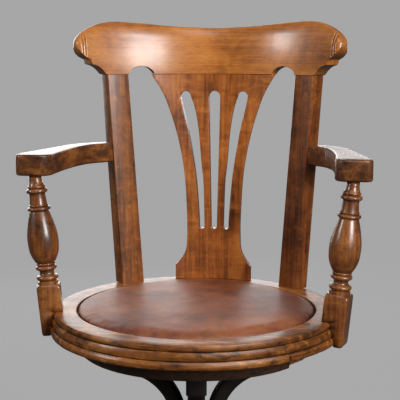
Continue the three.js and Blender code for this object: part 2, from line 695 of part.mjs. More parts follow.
addMesh(upper, 'thrust_washer', thrustWasher(), brass);
addMesh(upper, 'spindle', spindle(), steel);
addMesh(upper, 'height_nut', heightNut(), blackIron);

const base = new THREE.Group();
base.position.z = SEAT_HEIGHT;
base.rotation.z = BASE_TURN;
chair.add(base);
addMesh(base, 'nut_tube', nutTube(), blackIron);
addMesh(base, 'head_ring', headRing(), blackIron);
addMesh(base, 'upper_band', legBand(BAND_TOPS[0]), blackIron);
addMesh(base, 'lower_band', legBand(BAND_TOPS[1]), blackIron);

['front', 'left', 'back', 'right'].forEach((word, k) => {
  const spoke = new THREE.Group();
  spoke.rotation.z = (k - 1) * Math.PI / 2;
  base.add(spoke);
  addMesh(spoke, `${word}_leg`, leg(), darkWood);
  const headScrew = addMesh(spoke, `${word}_leg_screw`, screw(HEAD_SCREW_LENGTH), steel);
  headScrew.position.set(HEAD_SCREW_RADIUS, 0, HEAD_RING_TOP + GAP);
  headScrew.rotation.x = Math.PI;
  const castor = new THREE.Group();
  castor.position.x = FOOT.r;
  castor.rotation.z = Math.PI / 2;
  spoke.add(castor);
  addMesh(castor, `${word}_castor_socket`, castorSocket(), brass);
  addMesh(castor, `${word}_castor_horn`, castorHorn(), brass);
  addMesh(castor, `${word}_castor_wheel`, castorWheel(), brass);
  addMesh(castor, `${word}_castor_axle`, castorAxle(), steel);
});

export default chair;
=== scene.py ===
"""A swivel armchair: varnished wood, a round leather pad and a dark bent-leg base on castors."""

import math

import bmesh
import bpy
from mathutils import Matrix, Vector, noise


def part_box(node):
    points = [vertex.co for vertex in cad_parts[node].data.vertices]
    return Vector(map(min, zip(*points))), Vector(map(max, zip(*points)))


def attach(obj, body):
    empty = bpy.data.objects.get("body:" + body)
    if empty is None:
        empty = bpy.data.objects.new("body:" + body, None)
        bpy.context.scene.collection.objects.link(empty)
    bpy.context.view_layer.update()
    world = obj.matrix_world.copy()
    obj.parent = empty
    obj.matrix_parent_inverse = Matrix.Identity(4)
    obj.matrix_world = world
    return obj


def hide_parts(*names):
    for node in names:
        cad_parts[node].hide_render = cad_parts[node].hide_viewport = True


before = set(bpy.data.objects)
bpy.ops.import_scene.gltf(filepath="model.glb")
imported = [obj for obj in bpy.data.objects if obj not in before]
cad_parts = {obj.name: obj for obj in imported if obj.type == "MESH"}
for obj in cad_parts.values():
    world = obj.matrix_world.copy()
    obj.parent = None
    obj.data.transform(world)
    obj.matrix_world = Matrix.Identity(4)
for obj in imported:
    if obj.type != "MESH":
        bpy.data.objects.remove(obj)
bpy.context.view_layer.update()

# ---- sizes in millimetres, heights from the seat's rim ----
MM = 0.001
RIM_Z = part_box("seat_ring")[1].z
BASE_TURN = math.radians(8.7)
WORDS = ("front", "left", "back", "right")


# ---- mesh helpers ----
def place(x, y, z):
    """A point given in millimetres from the rim plane, in metres from the floor."""
    return Vector((x * MM, y * MM, z * MM + RIM_Z))


def made(name, bm, smooth_angle=38):
    """Turns a bmesh into an object with smooth shading and sharp corners."""
    bmesh.ops.remove_doubles(bm, verts=bm.verts, dist=1e-6)
    bmesh.ops.recalc_face_normals(bm, faces=bm.faces)
    mesh = bpy.data.meshes.new(name)
    bm.to_mesh(mesh)
    bm.free()
    mesh.shade_smooth()
    mesh.set_sharp_from_angle(angle=math.radians(smooth_angle))
    obj = bpy.data.objects.new(name, mesh)
    bpy.context.scene.collection.objects.link(obj)
    return obj


def loft(rings, loop=False):
    """A bmesh through rings of points; open lofts are closed with a face at each end."""
    bm = bmesh.new()
    rows = [[bm.verts.new(p) for p in ring] for ring in rings]
    count = len(rows[0])
    pairs = list(zip(rows, rows[1:]))
    if loop:
        pairs.append((rows[-1], rows[0]))
    for low, high in pairs:
        for i in range(count):
            j = (i + 1) % count
            bm.faces.new((low[i], low[j], high[j], high[i]))
    if not loop:
        bm.faces.new(rows[0])
        bm.faces.new(rows[-1])
    return bm


def lathe(profile, segments=96, move=Matrix.Identity(4), closes=False):
    """Turns (radius, height) pairs in millimetres about the swivel axis, or about a moved one.

    segments is a count, or a list of angles where some places need closer ones.
    """
    bm = bmesh.new()
    angles = segments
    if not isinstance(segments, list):
        angles = [2 * math.pi * k / segments for k in range(segments)]
    count = len(angles)
    rows = []
    for r, z in profile:
        if r < 1e-6:
            rows.append([bm.verts.new((0, 0, z * MM))] * count)
            continue
        rows.append([bm.verts.new((r * MM * math.cos(a), r * MM * math.sin(a), z * MM)) for a in angles])
    pairs = list(zip(rows, rows[1:]))
    if closes:
        pairs.append((rows[-1], rows[0]))
    for low, high in pairs:
        for i in range(count):
            j = (i + 1) % count
            corners = []
            for v in (low[i], low[j], high[j], high[i]):
                if v not in corners:
                    corners.append(v)
            if len(corners) > 2:
                bm.faces.new(corners)
    bm.transform(Matrix.Translation((0, 0, RIM_Z)) @ move)
    return bm


def bead(z_top, z_bottom, r_side, r_out, steps=7):
    """The half-round of a turned bead, from its upper edge to its lower one."""
    middle = (z_top + z_bottom) / 2
    half = (z_top - z_bottom) / 2
    return [(r_side + (r_out - r_side) * math.sin(math.pi * k / steps),
             middle + half * math.cos(math.pi * k / steps)) for k in range(steps + 1)]


def spline(points, per_span=6):
    """Catmull-Rom points through a list of tuples of any size."""
    out = []
    last = len(points) - 1
    for i in range(last):
        p0, p1, p2, p3 = (points[max(0, min(last, i + k))] for k in (-1, 0, 1, 2))
        for step in range(per_span):
            t = step / per_span
            out.append(tuple(
                0.5 * (2 * b + (c - a) * t + (2 * a - 5 * b + 4 * c - d) * t * t
                       + (3 * b - a - 3 * c + d) * t ** 3)
                for a, b, c, d in zip(p0, p1, p2, p3)))
    out.append(tuple(points[-1]))
    return out


def along(pairs, x):
    """Straight-line interpolation in a list of (x, value) pairs."""
    if x <= pairs[0][0]:
        return pairs[0][1]
    for (x0, v0), (x1, v1) in zip(pairs, pairs[1:]):
        if x <= x1:
            return v0 + (v1 - v0) * (x - x0) / (x1 - x0)
    return pairs[-1][1]


def arc(cx, cy, r, start, end, steps=10):
    """Points of an arc between two angles in degrees."""
    return [(cx + r * math.cos(math.radians(a)), cy + r * math.sin(math.radians(a)))
            for a in (start + (end - start) * k / steps for k in range(steps + 1))]


def rounded(width, depth, radius, steps=4):
    """A rectangle with rounded corners, centred on the origin."""
    out = []
    for corner, (sx, sy) in enumerate(((1, 1), (-1, 1), (-1, -1), (1, -1))):
        out += arc(sx * (width / 2 - radius), sy * (depth / 2 - radius), radius,
                   90 * corner, 90 * corner + 90, steps)
    return out


def board(name, loops, thickness, edge, cuts=()):
    """A bmesh of a flat board: closed outlines filled, thickened along Z and rounded at the edges.

    cuts lists ("X" or "Y", distance) lines where its faces are split, so that it can be bent.
    """
    curve = bpy.data.curves.new(name, "CURVE")
    curve.dimensions = "2D"
    curve.fill_mode = "BOTH"
    curve.extrude = (thickness / 2 - edge) * MM
    curve.bevel_depth = edge * MM
    curve.bevel_resolution = 3
    curve.offset = -edge * MM
    for points in loops:
        line = curve.splines.new("POLY")
        line.points.add(len(points) - 1)
        for slot, (x, y) in zip(line.points, points):
            slot.co = (x * MM, y * MM, 0, 1)
        line.use_cyclic_u = True
    obj = bpy.data.objects.new(name, curve)
    bpy.context.scene.collection.objects.link(obj)
    bpy.context.view_layer.update()
    mesh = bpy.data.meshes.new_from_object(obj.evaluated_get(bpy.context.evaluated_depsgraph_get()))
    bpy.data.objects.remove(obj)
    bm = bmesh.new()
    bm.from_mesh(mesh)
    bmesh.ops.remove_doubles(bm, verts=bm.verts, dist=1e-6)
    for axis, distance in cuts:
        normal = Vector((axis == "X", axis == "Y", 0))
        bmesh.ops.bisect_plane(bm, geom=bm.verts[:] + bm.edges[:] + bm.faces[:],
                               plane_co=normal * distance * MM, plane_no=normal)
    return bm


def applied(obj):
    """Applies an object's modifiers to its mesh."""
    graph = bpy.context.evaluated_depsgraph_get()
    mesh = bpy.data.meshes.new_from_object(obj.evaluated_get(graph))
    obj.modifiers.clear()
    obj.data = mesh


def combined(obj, other, operation):
    """Joins another closed object to this one (UNION) or cuts it away (DIFFERENCE)."""
    modifier = obj.modifiers.new("combine", "BOOLEAN")
    modifier.operation = operation
    modifier.object = other
    modifier.solver = "EXACT"
    applied(obj)
    bpy.data.objects.remove(other)
    return obj


def sliced(bm, point, normal):
    """Takes away what lies beyond a plane and closes the cut."""
    cut = bmesh.ops.bisect_plane(bm, geom=bm.verts[:] + bm.edges[:] + bm.faces[:],
                                 plane_co=point, plane_no=normal, clear_outer=True)
    bmesh.ops.holes_fill(bm, edges=[e for e in cut["geom_cut"] if isinstance(e, bmesh.types.BMEdge)])
    return bm


def grain(obj, rule):
    """Stores, at every vertex, how far along, across and into the grain it lies."""
    layer = obj.data.attributes.new("grain", "FLOAT_VECTOR", "POINT")
    for item, vertex in zip(layer.data, obj.data.vertices):
        item.vector = rule(vertex.co)


CAVITY_BLURS = 2
SEAM_DIRT, SEAM_REACH = 0.3, 0.55


def cavity(obj, seams=()):
    """Stores how hollow the surface is at each vertex: above zero in grooves, below it on edges.

    Vertices at a seam's height above the rim, in millimetres, count as hollow: a joint holds dirt.
    """
    bm = bmesh.new()
    bm.from_mesh(obj.data)
    bm.normal_update()
    hollow = [sum(v.normal.dot((e.other_vert(v).co - v.co).normalized()) for e in v.link_edges)
              / max(1, len(v.link_edges)) for v in bm.verts]
    near = [[e.other_vert(v).index for e in v.link_edges] for v in bm.verts]
    bm.free()
    for _ in range(CAVITY_BLURS):
        hollow = [0.5 * value + 0.5 * sum(hollow[i] for i in around) / max(1, len(around))
                  for value, around in zip(hollow, near)]
    layer = obj.data.attributes.new("cavity", "FLOAT", "POINT")
    for item, value, vertex in zip(layer.data, hollow, obj.data.vertices):
        height = (vertex.co.z - RIM_Z) / MM
        item.value = value + SEAM_DIRT * any(abs(height - seam) < SEAM_REACH for seam in seams)


def piece(obj, body, material, slot_name, *nodes, seams=()):
    """Gives an object its material and ties it to the frame."""
    cavity(obj, seams)
    obj.data.materials.clear()
    obj.data.materials.append(material)
    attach(obj, body)
    if nodes:
        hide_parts(*nodes)
    return obj


# ---- material helpers ----
class Net:
    """A material's node tree with one short method for each kind of node used here."""

    def __init__(self, name):
        self.material = bpy.data.materials.new(name)
        self.material.use_nodes = True
        self.tree = self.material.node_tree
        self.shader = self.tree.nodes["Principled BSDF"]

    def link(self, value, socket):
        if isinstance(value, bpy.types.NodeSocket):
            self.tree.links.new(value, socket)
        else:
            socket.default_value = value

    def add(self, kind, **inputs):
        """A new node with some of its inputs linked or set."""
        node = self.tree.nodes.new("ShaderNode" + kind)
        for key, value in inputs.items():
            self.link(value, node.inputs[key])
        return node

    def position(self):
        """The object's own coordinates."""
        return self.add("TexCoord").outputs["Object"]

    def stored(self, name, output="Vector"):
        """What is stored on the vertices under a name: a vector, or a number as "Fac"."""
        node = self.add("Attribute")
        node.attribute_name = name
        return node.outputs[output]

    def up_component(self):
        """How far the surface faces up: 1 on top, -1 underneath."""
        return self.add("SeparateXYZ", Vector=self.add("NewGeometry").outputs["Normal"]).outputs["Z"]

    def stretch(self, vector, scale, location=(0, 0, 0)):
        return self.add("Mapping", Vector=vector, Scale=scale, Location=location).outputs["Vector"]

    def noise(self, vector, scale=1.0, detail=4.0, roughness=0.55, distortion=0.0):
        return self.add("TexNoise", Vector=vector, Scale=scale, Detail=detail, Roughness=roughness,
                        Distortion=distortion).outputs["Fac"]

    def cells(self, vector, scale):
        """The distance to the nearest border of a net of cells."""
        node = self.add("TexVoronoi", Vector=vector, Scale=scale)
        node.feature = "DISTANCE_TO_EDGE"
        return node.outputs["Distance"]

    def ramp(self, factor, stops):
        node = self.add("ValToRGB", Fac=factor)
        ends = node.color_ramp.elements
        while len(ends) < len(stops):
            ends.new(0.5)
        for end, (at, value) in zip(ends, stops):
            end.position = at
            end.color = (*value, 1) if isinstance(value, tuple) else (value, value, value, 1)
        return node.outputs["Color"]

    def mix(self, factor, a, b, blend="MIX"):
        node = self.add("Mix")
        node.data_type = "RGBA"
        node.blend_type = blend
        self.link(factor, node.inputs["Factor"])
        for value, socket in ((a, node.inputs[6]), (b, node.inputs[7])):
            self.link((*value, 1) if isinstance(value, tuple) else value, socket)
        return node.outputs[2]

    def math(self, operation, a, b=0.0):
        node = self.add("Math")
        node.operation = operation
        self.link(a, node.inputs[0])
        self.link(b, node.inputs[1])
        return node.outputs[0]

    def fit(self, value, low, high):
        """Turns a 0 to 1 value into one between low and high."""
        return self.math("ADD", self.math("MULTIPLY", value, high - low), low)

    def bump(self, height, distance, strength=1.0):
        node = self.add("Bump", Height=height, Distance=distance, Strength=strength)
        self.link(node.outputs["Normal"], self.shader.inputs["Normal"])

    def finish(self, color, roughness, **constants):
        self.link(color, self.shader.inputs["Base Color"])
        self.link(roughness, self.shader.inputs["Roughness"])
        for key, value in constants.items():
            self.shader.inputs[key.replace("_", " ")].default_value = value
        return self.material


# Colours mixed into the wood: random dirt spots, painted shade with dirt in hollows, and painted shade on
# faces that point down.
SPOT_DIRT, GROOVE_SHADE_AND_DIRT, UNDER_SHADE = (0.018, 0.009, 0.005), (0.012, 0.006, 0.004), (0.014, 0.007, 0.004)
BANDS_PART, CLOUDS_PART = 0.25, 0.75
FLECK_TINT, STREAK_TINT = 1.25, 0.35


def wood(name, shades, shift, dirt, coat, figure_part=0.5, mottle=0.7, ragged=0.07, streaks=0.35):
    """Varnished open-grained wood: streaks and pores run along the stored grain direction.

    shades are its dark, middle and light colours, and shift picks a figure of its own.
    """
    dark, middle, light = shades
    net = Net(name)
    lay = net.stored("grain")
    where = net.position()
    hollow = net.stored("cavity", "Fac")
    figure = net.noise(net.stretch(lay, (7, 55, 55), (shift, shift, 0)), 1, 6, 0.62, 0.7)
    bands = net.noise(net.stretch(lay, (2.5, 260, 200), (shift, 0, 0)), 1, 3, 0.5, 0.3)
    pores = net.noise(net.stretch(lay, (90, 1700, 1700), (0, shift, 0)), 1, 2, 0.5)
    clouds = net.noise(where, 13, 5, 0.6, 0.5)
    both = net.math("ADD", net.math("MULTIPLY", figure, figure_part),
                    net.math("MULTIPLY", bands, BANDS_PART))
    both = net.math("ADD", both, net.math("MULTIPLY", clouds, CLOUDS_PART - figure_part))
    tone = net.ramp(both, [(0.36, dark), (0.5, middle), (0.64, light)])
    tone = net.mix(net.ramp(pores, [(0.36, 0.5), (0.46, 0.0)]), tone, dark)
    tone = net.mix(mottle, tone, net.ramp(clouds, [(0.32, 0.62), (0.62, 1.0)]), "MULTIPLY")
    spots = net.ramp(net.noise(where, 55, 5, 0.65), [(0.58, 0.0), (0.74, dirt)])
    tone = net.mix(spots, tone, SPOT_DIRT)
    # Painted shade in grooves and hollows, together with dirt at the joints and in random patches; edges
    # that stand out are lightened towards the light colour.
    uneven = net.math("ADD", hollow, net.fit(net.noise(where, 80, 4, 0.65), -ragged, ragged))
    tone = net.mix(net.ramp(uneven, [(0.035, 0.0), (0.16, 0.9)]), tone, GROOVE_SHADE_AND_DIRT)
    raised = net.math("MULTIPLY", uneven, -1.0)
    tone = net.mix(net.ramp(raised, [(0.14, 0.0), (0.4, 0.3)]), tone, light)
    patches = net.noise(net.stretch(where, (14, 70, 70)), 1, 6, 0.68, 0.3)
    flecks = net.ramp(patches, [(0.34, 0.9 * streaks), (0.45, 0.0)])
    tone = net.mix(flecks, tone, tuple(FLECK_TINT * c for c in light))
    dark_streaks = net.ramp(patches, [(0.54, 0.0), (0.64, streaks)])
    tone = net.mix(dark_streaks, tone, tuple(STREAK_TINT * c for c in dark))
    # Painted shade: faces that point down are darkened towards a near-black brown.
    below = net.math("MULTIPLY", net.up_component(), -1.0)
    tone = net.mix(net.ramp(below, [(0.2, 0.0), (0.85, 0.8)]), tone, UNDER_SHADE)
    rough = net.fit(net.noise(where, 35, 4), 0.30, 0.52)
    net.bump(net.math("ADD", net.math("MULTIPLY", pores, 0.6), figure), 0.00022, 0.5)
    return net.finish(tone, rough, Coat_Weight=coat, Coat_Roughness=0.24, Coat_IOR=1.5,
                      Specular_IOR_Level=0.35)


def leather():
    """Old brown leather: cloudy, blotched, finely crackled and scuffed."""
    net = Net("pad_leather")
    where = net.position()
    cloud = net.noise(where, 7, 6, 0.6, 0.2)
    blotch = net.noise(where, 15, 6, 0.66, 0.15)
    hide = net.ramp(cloud, [(0.36, (0.095, 0.019, 0.007)), (0.48, (0.225, 0.053, 0.017)),
                            (0.62, (0.40, 0.128, 0.048))])
    hide = net.mix(net.ramp(blotch, [(0.48, 0.0), (0.70, 0.6)]), hide, (0.055, 0.016, 0.010))
    crackle = net.cells(where, 380)
    fine = net.noise(where, 900, 3, 0.6)
    hide = net.mix(net.ramp(crackle, [(0.0, 0.4), (0.12, 0.0)]), hide, (0.030, 0.010, 0.007))
    scuff = net.noise(net.stretch(where, (24, 60, 40)), 1, 6, 0.7, 0.2)
    hide = net.mix(net.ramp(scuff, [(0.6, 0.0), (0.78, 0.4)]), hide, (0.34, 0.15, 0.085))
    height = net.math("ADD", net.ramp(crackle, [(0.0, 0.0), (0.2, 1.0)]), net.math("MULTIPLY", fine, 0.4))
    net.bump(height, 0.00018, 0.55)
    rough = net.fit(net.noise(where, 24, 5, 0.65), 0.40, 0.64)
    return net.finish(hide, rough, Coat_Weight=0.12, Coat_Roughness=0.3, Specular_IOR_Level=0.62)


def dark_wood(name, base, worn, low, high, coat):
    """Dark wood rubbed paler in patches; its roughness lies between low and high."""
    net = Net(name)
    where = net.position()
    streak = net.noise(net.stretch(net.stored("grain"), (8, 160, 160)), 1, 5, 0.6, 0.4)
    rub = net.ramp(net.noise(where, 18, 6, 0.65), [(0.5, 0.0), (0.75, 0.55)])
    tone = net.mix(rub, base, worn)
    tone = net.mix(net.ramp(streak, [(0.35, 0.6), (0.55, 0.0)]), tone, (0.012, 0.008, 0.006))
    net.bump(streak, 0.0003, 0.5)
    rough = net.fit(net.noise(where, 40, 4), low, high)
    return net.finish(tone, rough, Coat_Weight=coat, Coat_Roughness=0.25, Specular_IOR_Level=0.35)


def metal(name, base, stain, low, high, metallic=1.0):
    """Stained, finely pitted metal; its roughness lies between low and high."""
    net = Net(name)
    where = net.position()
    cloud = net.noise(where, 45, 6, 0.65, 0.5)
    tone = net.mix(net.ramp(cloud, [(0.42, 0.0), (0.66, 0.9)]), base, stain)
    rough = net.fit(net.noise(where, 130, 4, 0.6), low, high)
    net.bump(net.noise(where, 700, 4, 0.6), 0.00012, 0.5)
    return net.finish(tone, rough, Metallic=metallic)


CREST_SHADES = (0.26, 0.072, 0.011), (0.58, 0.190, 0.030), (0.72, 0.28, 0.055)
SPLAT_SHADES = (0.13, 0.032, 0.006), (0.47, 0.130, 0.020), (0.64, 0.225, 0.040)
STILE_SHADES = (0.060, 0.016, 0.003), (0.29, 0.084, 0.013), (0.50, 0.175, 0.031)
# Painted shade: a darker, slightly redder copy of the stile wood for the post at +X, whose front faces away
# from the key light.
SHADOW_STILE_SHADES = (0.040, 0.009, 0.002), (0.20, 0.052, 0.009), (0.36, 0.115, 0.021)
ARM_SHADES = (0.030, 0.008, 0.002), (0.17, 0.054, 0.014), (0.46, 0.168, 0.034)
TURNED_SHADES = (0.030, 0.008, 0.002), (0.235, 0.068, 0.012), (0.46, 0.168, 0.034)
RIM_SHADES = (0.040, 0.011, 0.003), (0.33, 0.103, 0.017), (0.60, 0.235, 0.047)
CREST_WOOD = wood("crest_wood", CREST_SHADES, shift=1.7, dirt=0.25, coat=0.85, figure_part=0.3,
                  mottle=0.35, streaks=0.15)
SPLAT_WOOD = wood("splat_wood", SPLAT_SHADES, shift=5.1, dirt=0.4, coat=0.6)
STILE_WOOD = wood("stile_wood", STILE_SHADES, shift=9.3, dirt=0.5, coat=0.6)
SHADOW_STILE_WOOD = wood("shadow_stile_wood", SHADOW_STILE_SHADES, shift=11.6, dirt=0.6, coat=0.5)
ARM_WOOD = wood("arm_wood", ARM_SHADES, shift=13.9, dirt=0.6, coat=0.8, figure_part=0.35)
TURNED_WOOD = wood("turned_wood", TURNED_SHADES, shift=17.2, dirt=0.6, coat=1.0, figure_part=0.35)
RIM_WOOD = wood("rim_wood", RIM_SHADES, shift=21.4, dirt=0.95, coat=0.4, figure_part=0.4, mottle=0.8,
                ragged=0.24, streaks=0.8)
BOARD_WOOD = dark_wood("board_wood", (0.070, 0.031, 0.014), (0.20, 0.088, 0.037), 0.5, 0.8, 0.0)
LEG_WOOD = dark_wood("leg_wood", (0.008, 0.005, 0.004), (0.030, 0.017, 0.010), 0.34, 0.6, 0.15)
HIDE = leather()
IRON = metal("black_iron", (0.020, 0.018, 0.017), (0.045, 0.030, 0.022), 0.42, 0.65, 0.5)
STEEL = metal("dull_steel", (0.36, 0.34, 0.31), (0.16, 0.13, 0.10), 0.28, 0.5)
BRASS = metal("old_brass", (0.42, 0.29, 0.11), (0.16, 0.105, 0.045), 0.3, 0.52)


# ---- back ----
BACK_Y = 231
BACK_SWEEP = 114
BACK_SPAN = 232
BACK_LEAN = 0.02
CREST_HALF = 15
JOINT_Z = 372
FINE_GAP = 0.1
EAR_END = 229.5
CREST_TOP = [(0, 453), (43, 454.8), (73, 456.4), (100, 458.6), (126, 461), (150, 463), (168, 464),
             (182, 463), (194, 460), (204, 456), (213, 450.6), (219, 446), (224, 440), (227.5, 433.5),
             (EAR_END, 427)]
EAR_BOTTOM = [(189, 372), (191, 374.8), (193, 378), (196, 381.8), (200, 385.6), (204, 388), (208, 389.4),
              (210.3, 390.6), (211, 393.5), (211.3, 398), (215.5, 400.3), (220, 403.5), (224.5, 409.5),
              (228, 416.5), (EAR_END, 422)]
SCOOP_MIDDLE, SCOOP_HALF, SCOOP_RISE = 131.5, 21.5, 14.5
NOSE_START = 222.5
BEAD_GROOVES, GROOVE_DEPTH, GROOVE_LOW = (218.6, 222), 1.6, 401
CREST_BELLY = 0.0013
TOP_ROLL, REAR_ROLL = 27, 13
REAR_HOLLOW = 11
EDGE_RISE = 0.6


def back_point(x, depth):
    """A point of the back's plan curve, moved back by depth along its normal."""
    slope = -2 * BACK_SWEEP * x / BACK_SPAN ** 2
    normal = Vector((-slope, 1)).normalized()
    return x + normal.x * depth, BACK_Y - BACK_SWEEP * (x / BACK_SPAN) ** 2 + normal.y * depth


def back_grain(co, upright):
    """Along, across and depth of a point on the bent back, in metres."""
    x, y = co.x / MM, co.y / MM
    depth = y - (BACK_Y - BACK_SWEEP * (x / BACK_SPAN) ** 2)
    return (co.z, co.x, depth * MM) if upright else (co.x, co.z, depth * MM)


def crest_bottom(x):
    """The height of the rail's lower edge, with its scooped arches and notched ears."""
    offset = (x - SCOOP_MIDDLE) / SCOOP_HALF
    if abs(offset) < 1:
        return JOINT_Z + SCOOP_RISE * (1 - offset ** 2) ** (0.5 if offset > 0 else 0.72)
    return along([(0, JOINT_Z)] + EAR_BOTTOM, x)


def crest_stations():
    """Half the places along the rail where its section is drawn, closest together at the ears."""
    plain = [7 * k for k in range(15)]
    scoop = [SCOOP_MIDDLE - SCOOP_HALF * math.cos(math.pi * k / 22) for k in range(23)]
    ear = [152 + 3 * k for k in range(13)] + [189.5 + 0.9 * k for k in range(44)]
    nose = [EAR_END - left for left in (0.8, 0.45, 0.2, 0.08)]
    return sorted(set(round(x, 2) for x in plain + scoop + ear + nose if x <= EAR_END - 0.08))


def eased(t):
    """A soft step from 0 to 1."""
    t = max(0.0, min(1.0, t))
    return t * t * (3 - 2 * t)


CREST_TOP_CURVE = spline(CREST_TOP, 8)


def crest_section(x):
    """(depth, height) pairs round the rail: flush below, a full belly, a long roll and an ear bead."""
    into_nose = max(0.0, (x - NOSE_START) / (EAR_END - NOSE_START))
    nose = math.sqrt(max(0.0, 1 - into_nose ** 2.2))
    bottom, top = crest_bottom(x), along(CREST_TOP_CURVE, x)
    roll = min(TOP_ROLL, (top - bottom) * 0.6)
    rear_roll = min(REAR_ROLL, (top - bottom) * 0.4)

    def bead_groove(z):
        cut = sum(math.exp(-((x - at) / 0.8) ** 2) for at in BEAD_GROOVES)
        return GROOVE_DEPTH * nose * eased((z - GROOVE_LOW) / 8) * cut

    def front(z):
        up = z - JOINT_Z
        return (-CREST_HALF + CREST_BELLY * up * up) * nose

    def rear(z):
        thin = REAR_HOLLOW * (1 - eased((z - JOINT_Z) / 40)) * (1 - eased((x - 117) / 30))
        return (CREST_HALF - thin) * nose

    pairs = [(front(bottom) * 0.95, bottom), (front(bottom), bottom + EDGE_RISE)]
    rows = 22
    for k in range(1, rows + 1):
        z = bottom + EDGE_RISE + (top - roll - bottom - EDGE_RISE) * k / rows
        pairs.append((front(z) + bead_groove(z), z))
    slope = (front(top - roll) - front(top - roll - 1)) / max(0.1, abs(front(top - roll)))
    start = min(0.9, 1.15 * slope * roll)
    for k in range(1, 15):
        a = start + (math.pi / 2 - start) * k / 14
        z = top - roll + roll * (math.sin(a) - math.sin(start)) / (1 - math.sin(start))
        pairs.append((front(top - roll) * math.cos(a) / math.cos(start) + bead_groove(z), z))
    for k in range(1, 8):
        a = math.pi / 2 * k / 7
        pairs.append((rear(top) * math.sin(a), top - rear_roll + rear_roll * math.cos(a)))
    for k in range(1, 9):
        z = top - rear_roll + (bottom + EDGE_RISE - top + rear_roll) * k / 8
        pairs.append((rear(z), z))
    pairs.append((rear(bottom) * 0.95, bottom))
    return pairs


def crest_rail():
    """The bent top rail, with rolled ears and a scooped arch on each side."""
    half = crest_stations()
    rings = []
    for station in [-x for x in reversed(half[1:])] + half:
        rings.append([place(*back_point(station, depth), z) for depth, z in crest_section(abs(station))])
    obj = made("crest", loft(rings), 32)
    grain(obj, lambda co: back_grain(co, False))
    return piece(obj, "seat", CREST_WOOD, "walnut", "crest_rail", seams=(JOINT_Z,))


# A stile's corners, from the inner front one round by the outer side.
STILE_FOOT = [(121.3, 169.7), (154, 141.8), (172.2, 163.1), (139.5, 191)]
STILE_TOP = [back_point(154, -14), back_point(187, -14), back_point(187, 14), back_point(154, 14)]
STILE_EDGE = 2.2


def rounded_corners(corners, radius, steps=3):
    """A convex outline with its corners rounded off."""
    out = []
    count = len(corners)
    for i, corner in enumerate(corners):
        here = Vector(corner)
        before = (Vector(corners[i - 1]) - here).normalized() * radius
        after = (Vector(corners[(i + 1) % count]) - here).normalized() * radius
        for k in range(steps + 1):
            t = k / steps
            out.append(here + before * (1 - t) ** 2 + after * t ** 2)
    return out


def stile(side, word):
    """A square post that leans out and turns with the back's curve on its way up."""
    low, high = FINE_GAP, JOINT_Z - FINE_GAP
    rings = []
    for t in [0, 0.004] + [k / 24 for k in range(1, 24)] + [0.997, 1]:
        corners = [Vector(a).lerp(Vector(b), t) for a, b in zip(STILE_FOOT, STILE_TOP)]
        rings.append([place(side * p.x, p.y, low + (high - low) * t)
                      for p in rounded_corners(corners, STILE_EDGE)])
    obj = made(word + "_back_post", loft(rings), 32)
    grain(obj, lambda co: (co.z, side * co.x * 0.8 - co.y * 0.6, side * co.x * 0.6 + co.y * 0.8))
    # The post at +X takes the darker copy of the stile wood: painted shade.
    return piece(obj, "seat", STILE_WOOD if side < 0 else SHADOW_STILE_WOOD, "walnut", word + "_stile",
                 seams=(0, JOINT_Z))


SPLAT_THICKNESS = 16
SPLAT_FRONT = 209
SPLAT_EDGE = [(68.5, 27), (66, 28.5), (57, 40), (50.5, 54), (48.5, 74), (48.5, 115), (53, 193),
              (65.5, 262), (83, 320), (94.5, 346), (110, JOINT_Z - FINE_GAP)]
SLOT_INNER = [(17, 97), (19, 173), (23, 213), (28, 271), (35, 311), (42, 332)]
SLOT_OUTER = [(61, 332), (54, 300), (47, 271), (37, 213), (32, 173), (28, 120), (27, 97)]
SPLAT_ROWS = (1.2, 30, 80, 130, 180, 230, 280, 330, 370.8)


def splat():
    """The pierced fan: one middle slot and a flaring one on each side."""
    edge = [(SPLAT_EDGE[0][0], FINE_GAP)] + spline(SPLAT_EDGE, 7)
    outline = edge + [(-x, z) for x, z in reversed(edge)]
    middle = arc(0, 331.5, 10.5, 0, 180) + arc(0, 97.5, 5.5, 180, 360)
    slot = (spline(SLOT_INNER) + arc(51.5, 332, 9.5, 180, 0)[1:-1] + spline(SLOT_OUTER)
            + arc(22, 97, 5, 0, -180)[1:-1])
    mirrored = [(-x, z) for x, z in slot]
    cuts = [("X", x) for x in range(-102, 103, 6)] + [("Y", z) for z in SPLAT_ROWS]
    bm = board("splat", [outline, middle, slot, mirrored], SPLAT_THICKNESS, 0.9, cuts)
    for vertex in bm.verts:
        x, z, depth = vertex.co.x / MM, vertex.co.y / MM, -vertex.co.z / MM
        y = SPLAT_FRONT + SPLAT_THICKNESS / 2 + depth + BACK_LEAN * z - BACK_SWEEP * (x / BACK_SPAN) ** 2
        vertex.co = place(x, y, z)
    obj = made("fan_splat", bm, 32)
    grain(obj, lambda co: back_grain(co, True))
    return piece(obj, "seat", SPLAT_WOOD, "walnut", "back_splat", seams=(0, JOINT_Z))


# ---- arms ----
ARM_LOW, ARM_HIGH = 219, 253
ARM_MIDDLE = (ARM_LOW + ARM_HIGH) / 2
ARM_EDGE = 3.8
JOINT_GAP = 0.4
ARM_INNER = [(165, 155), (178, 138), (199, 114), (210, 86), (216, 57), (220.5, 8), (222, -40)]
ARM_FRONT = arc(242, -52.5, 20, 180, 270, 12) + arc(268, -60.5, 12, -90, 0, 8)
ARM_OUTER = [(279, -46), (268, -2), (256, 45), (247, 84), (238, 114), (212, 148), (181, 168)]


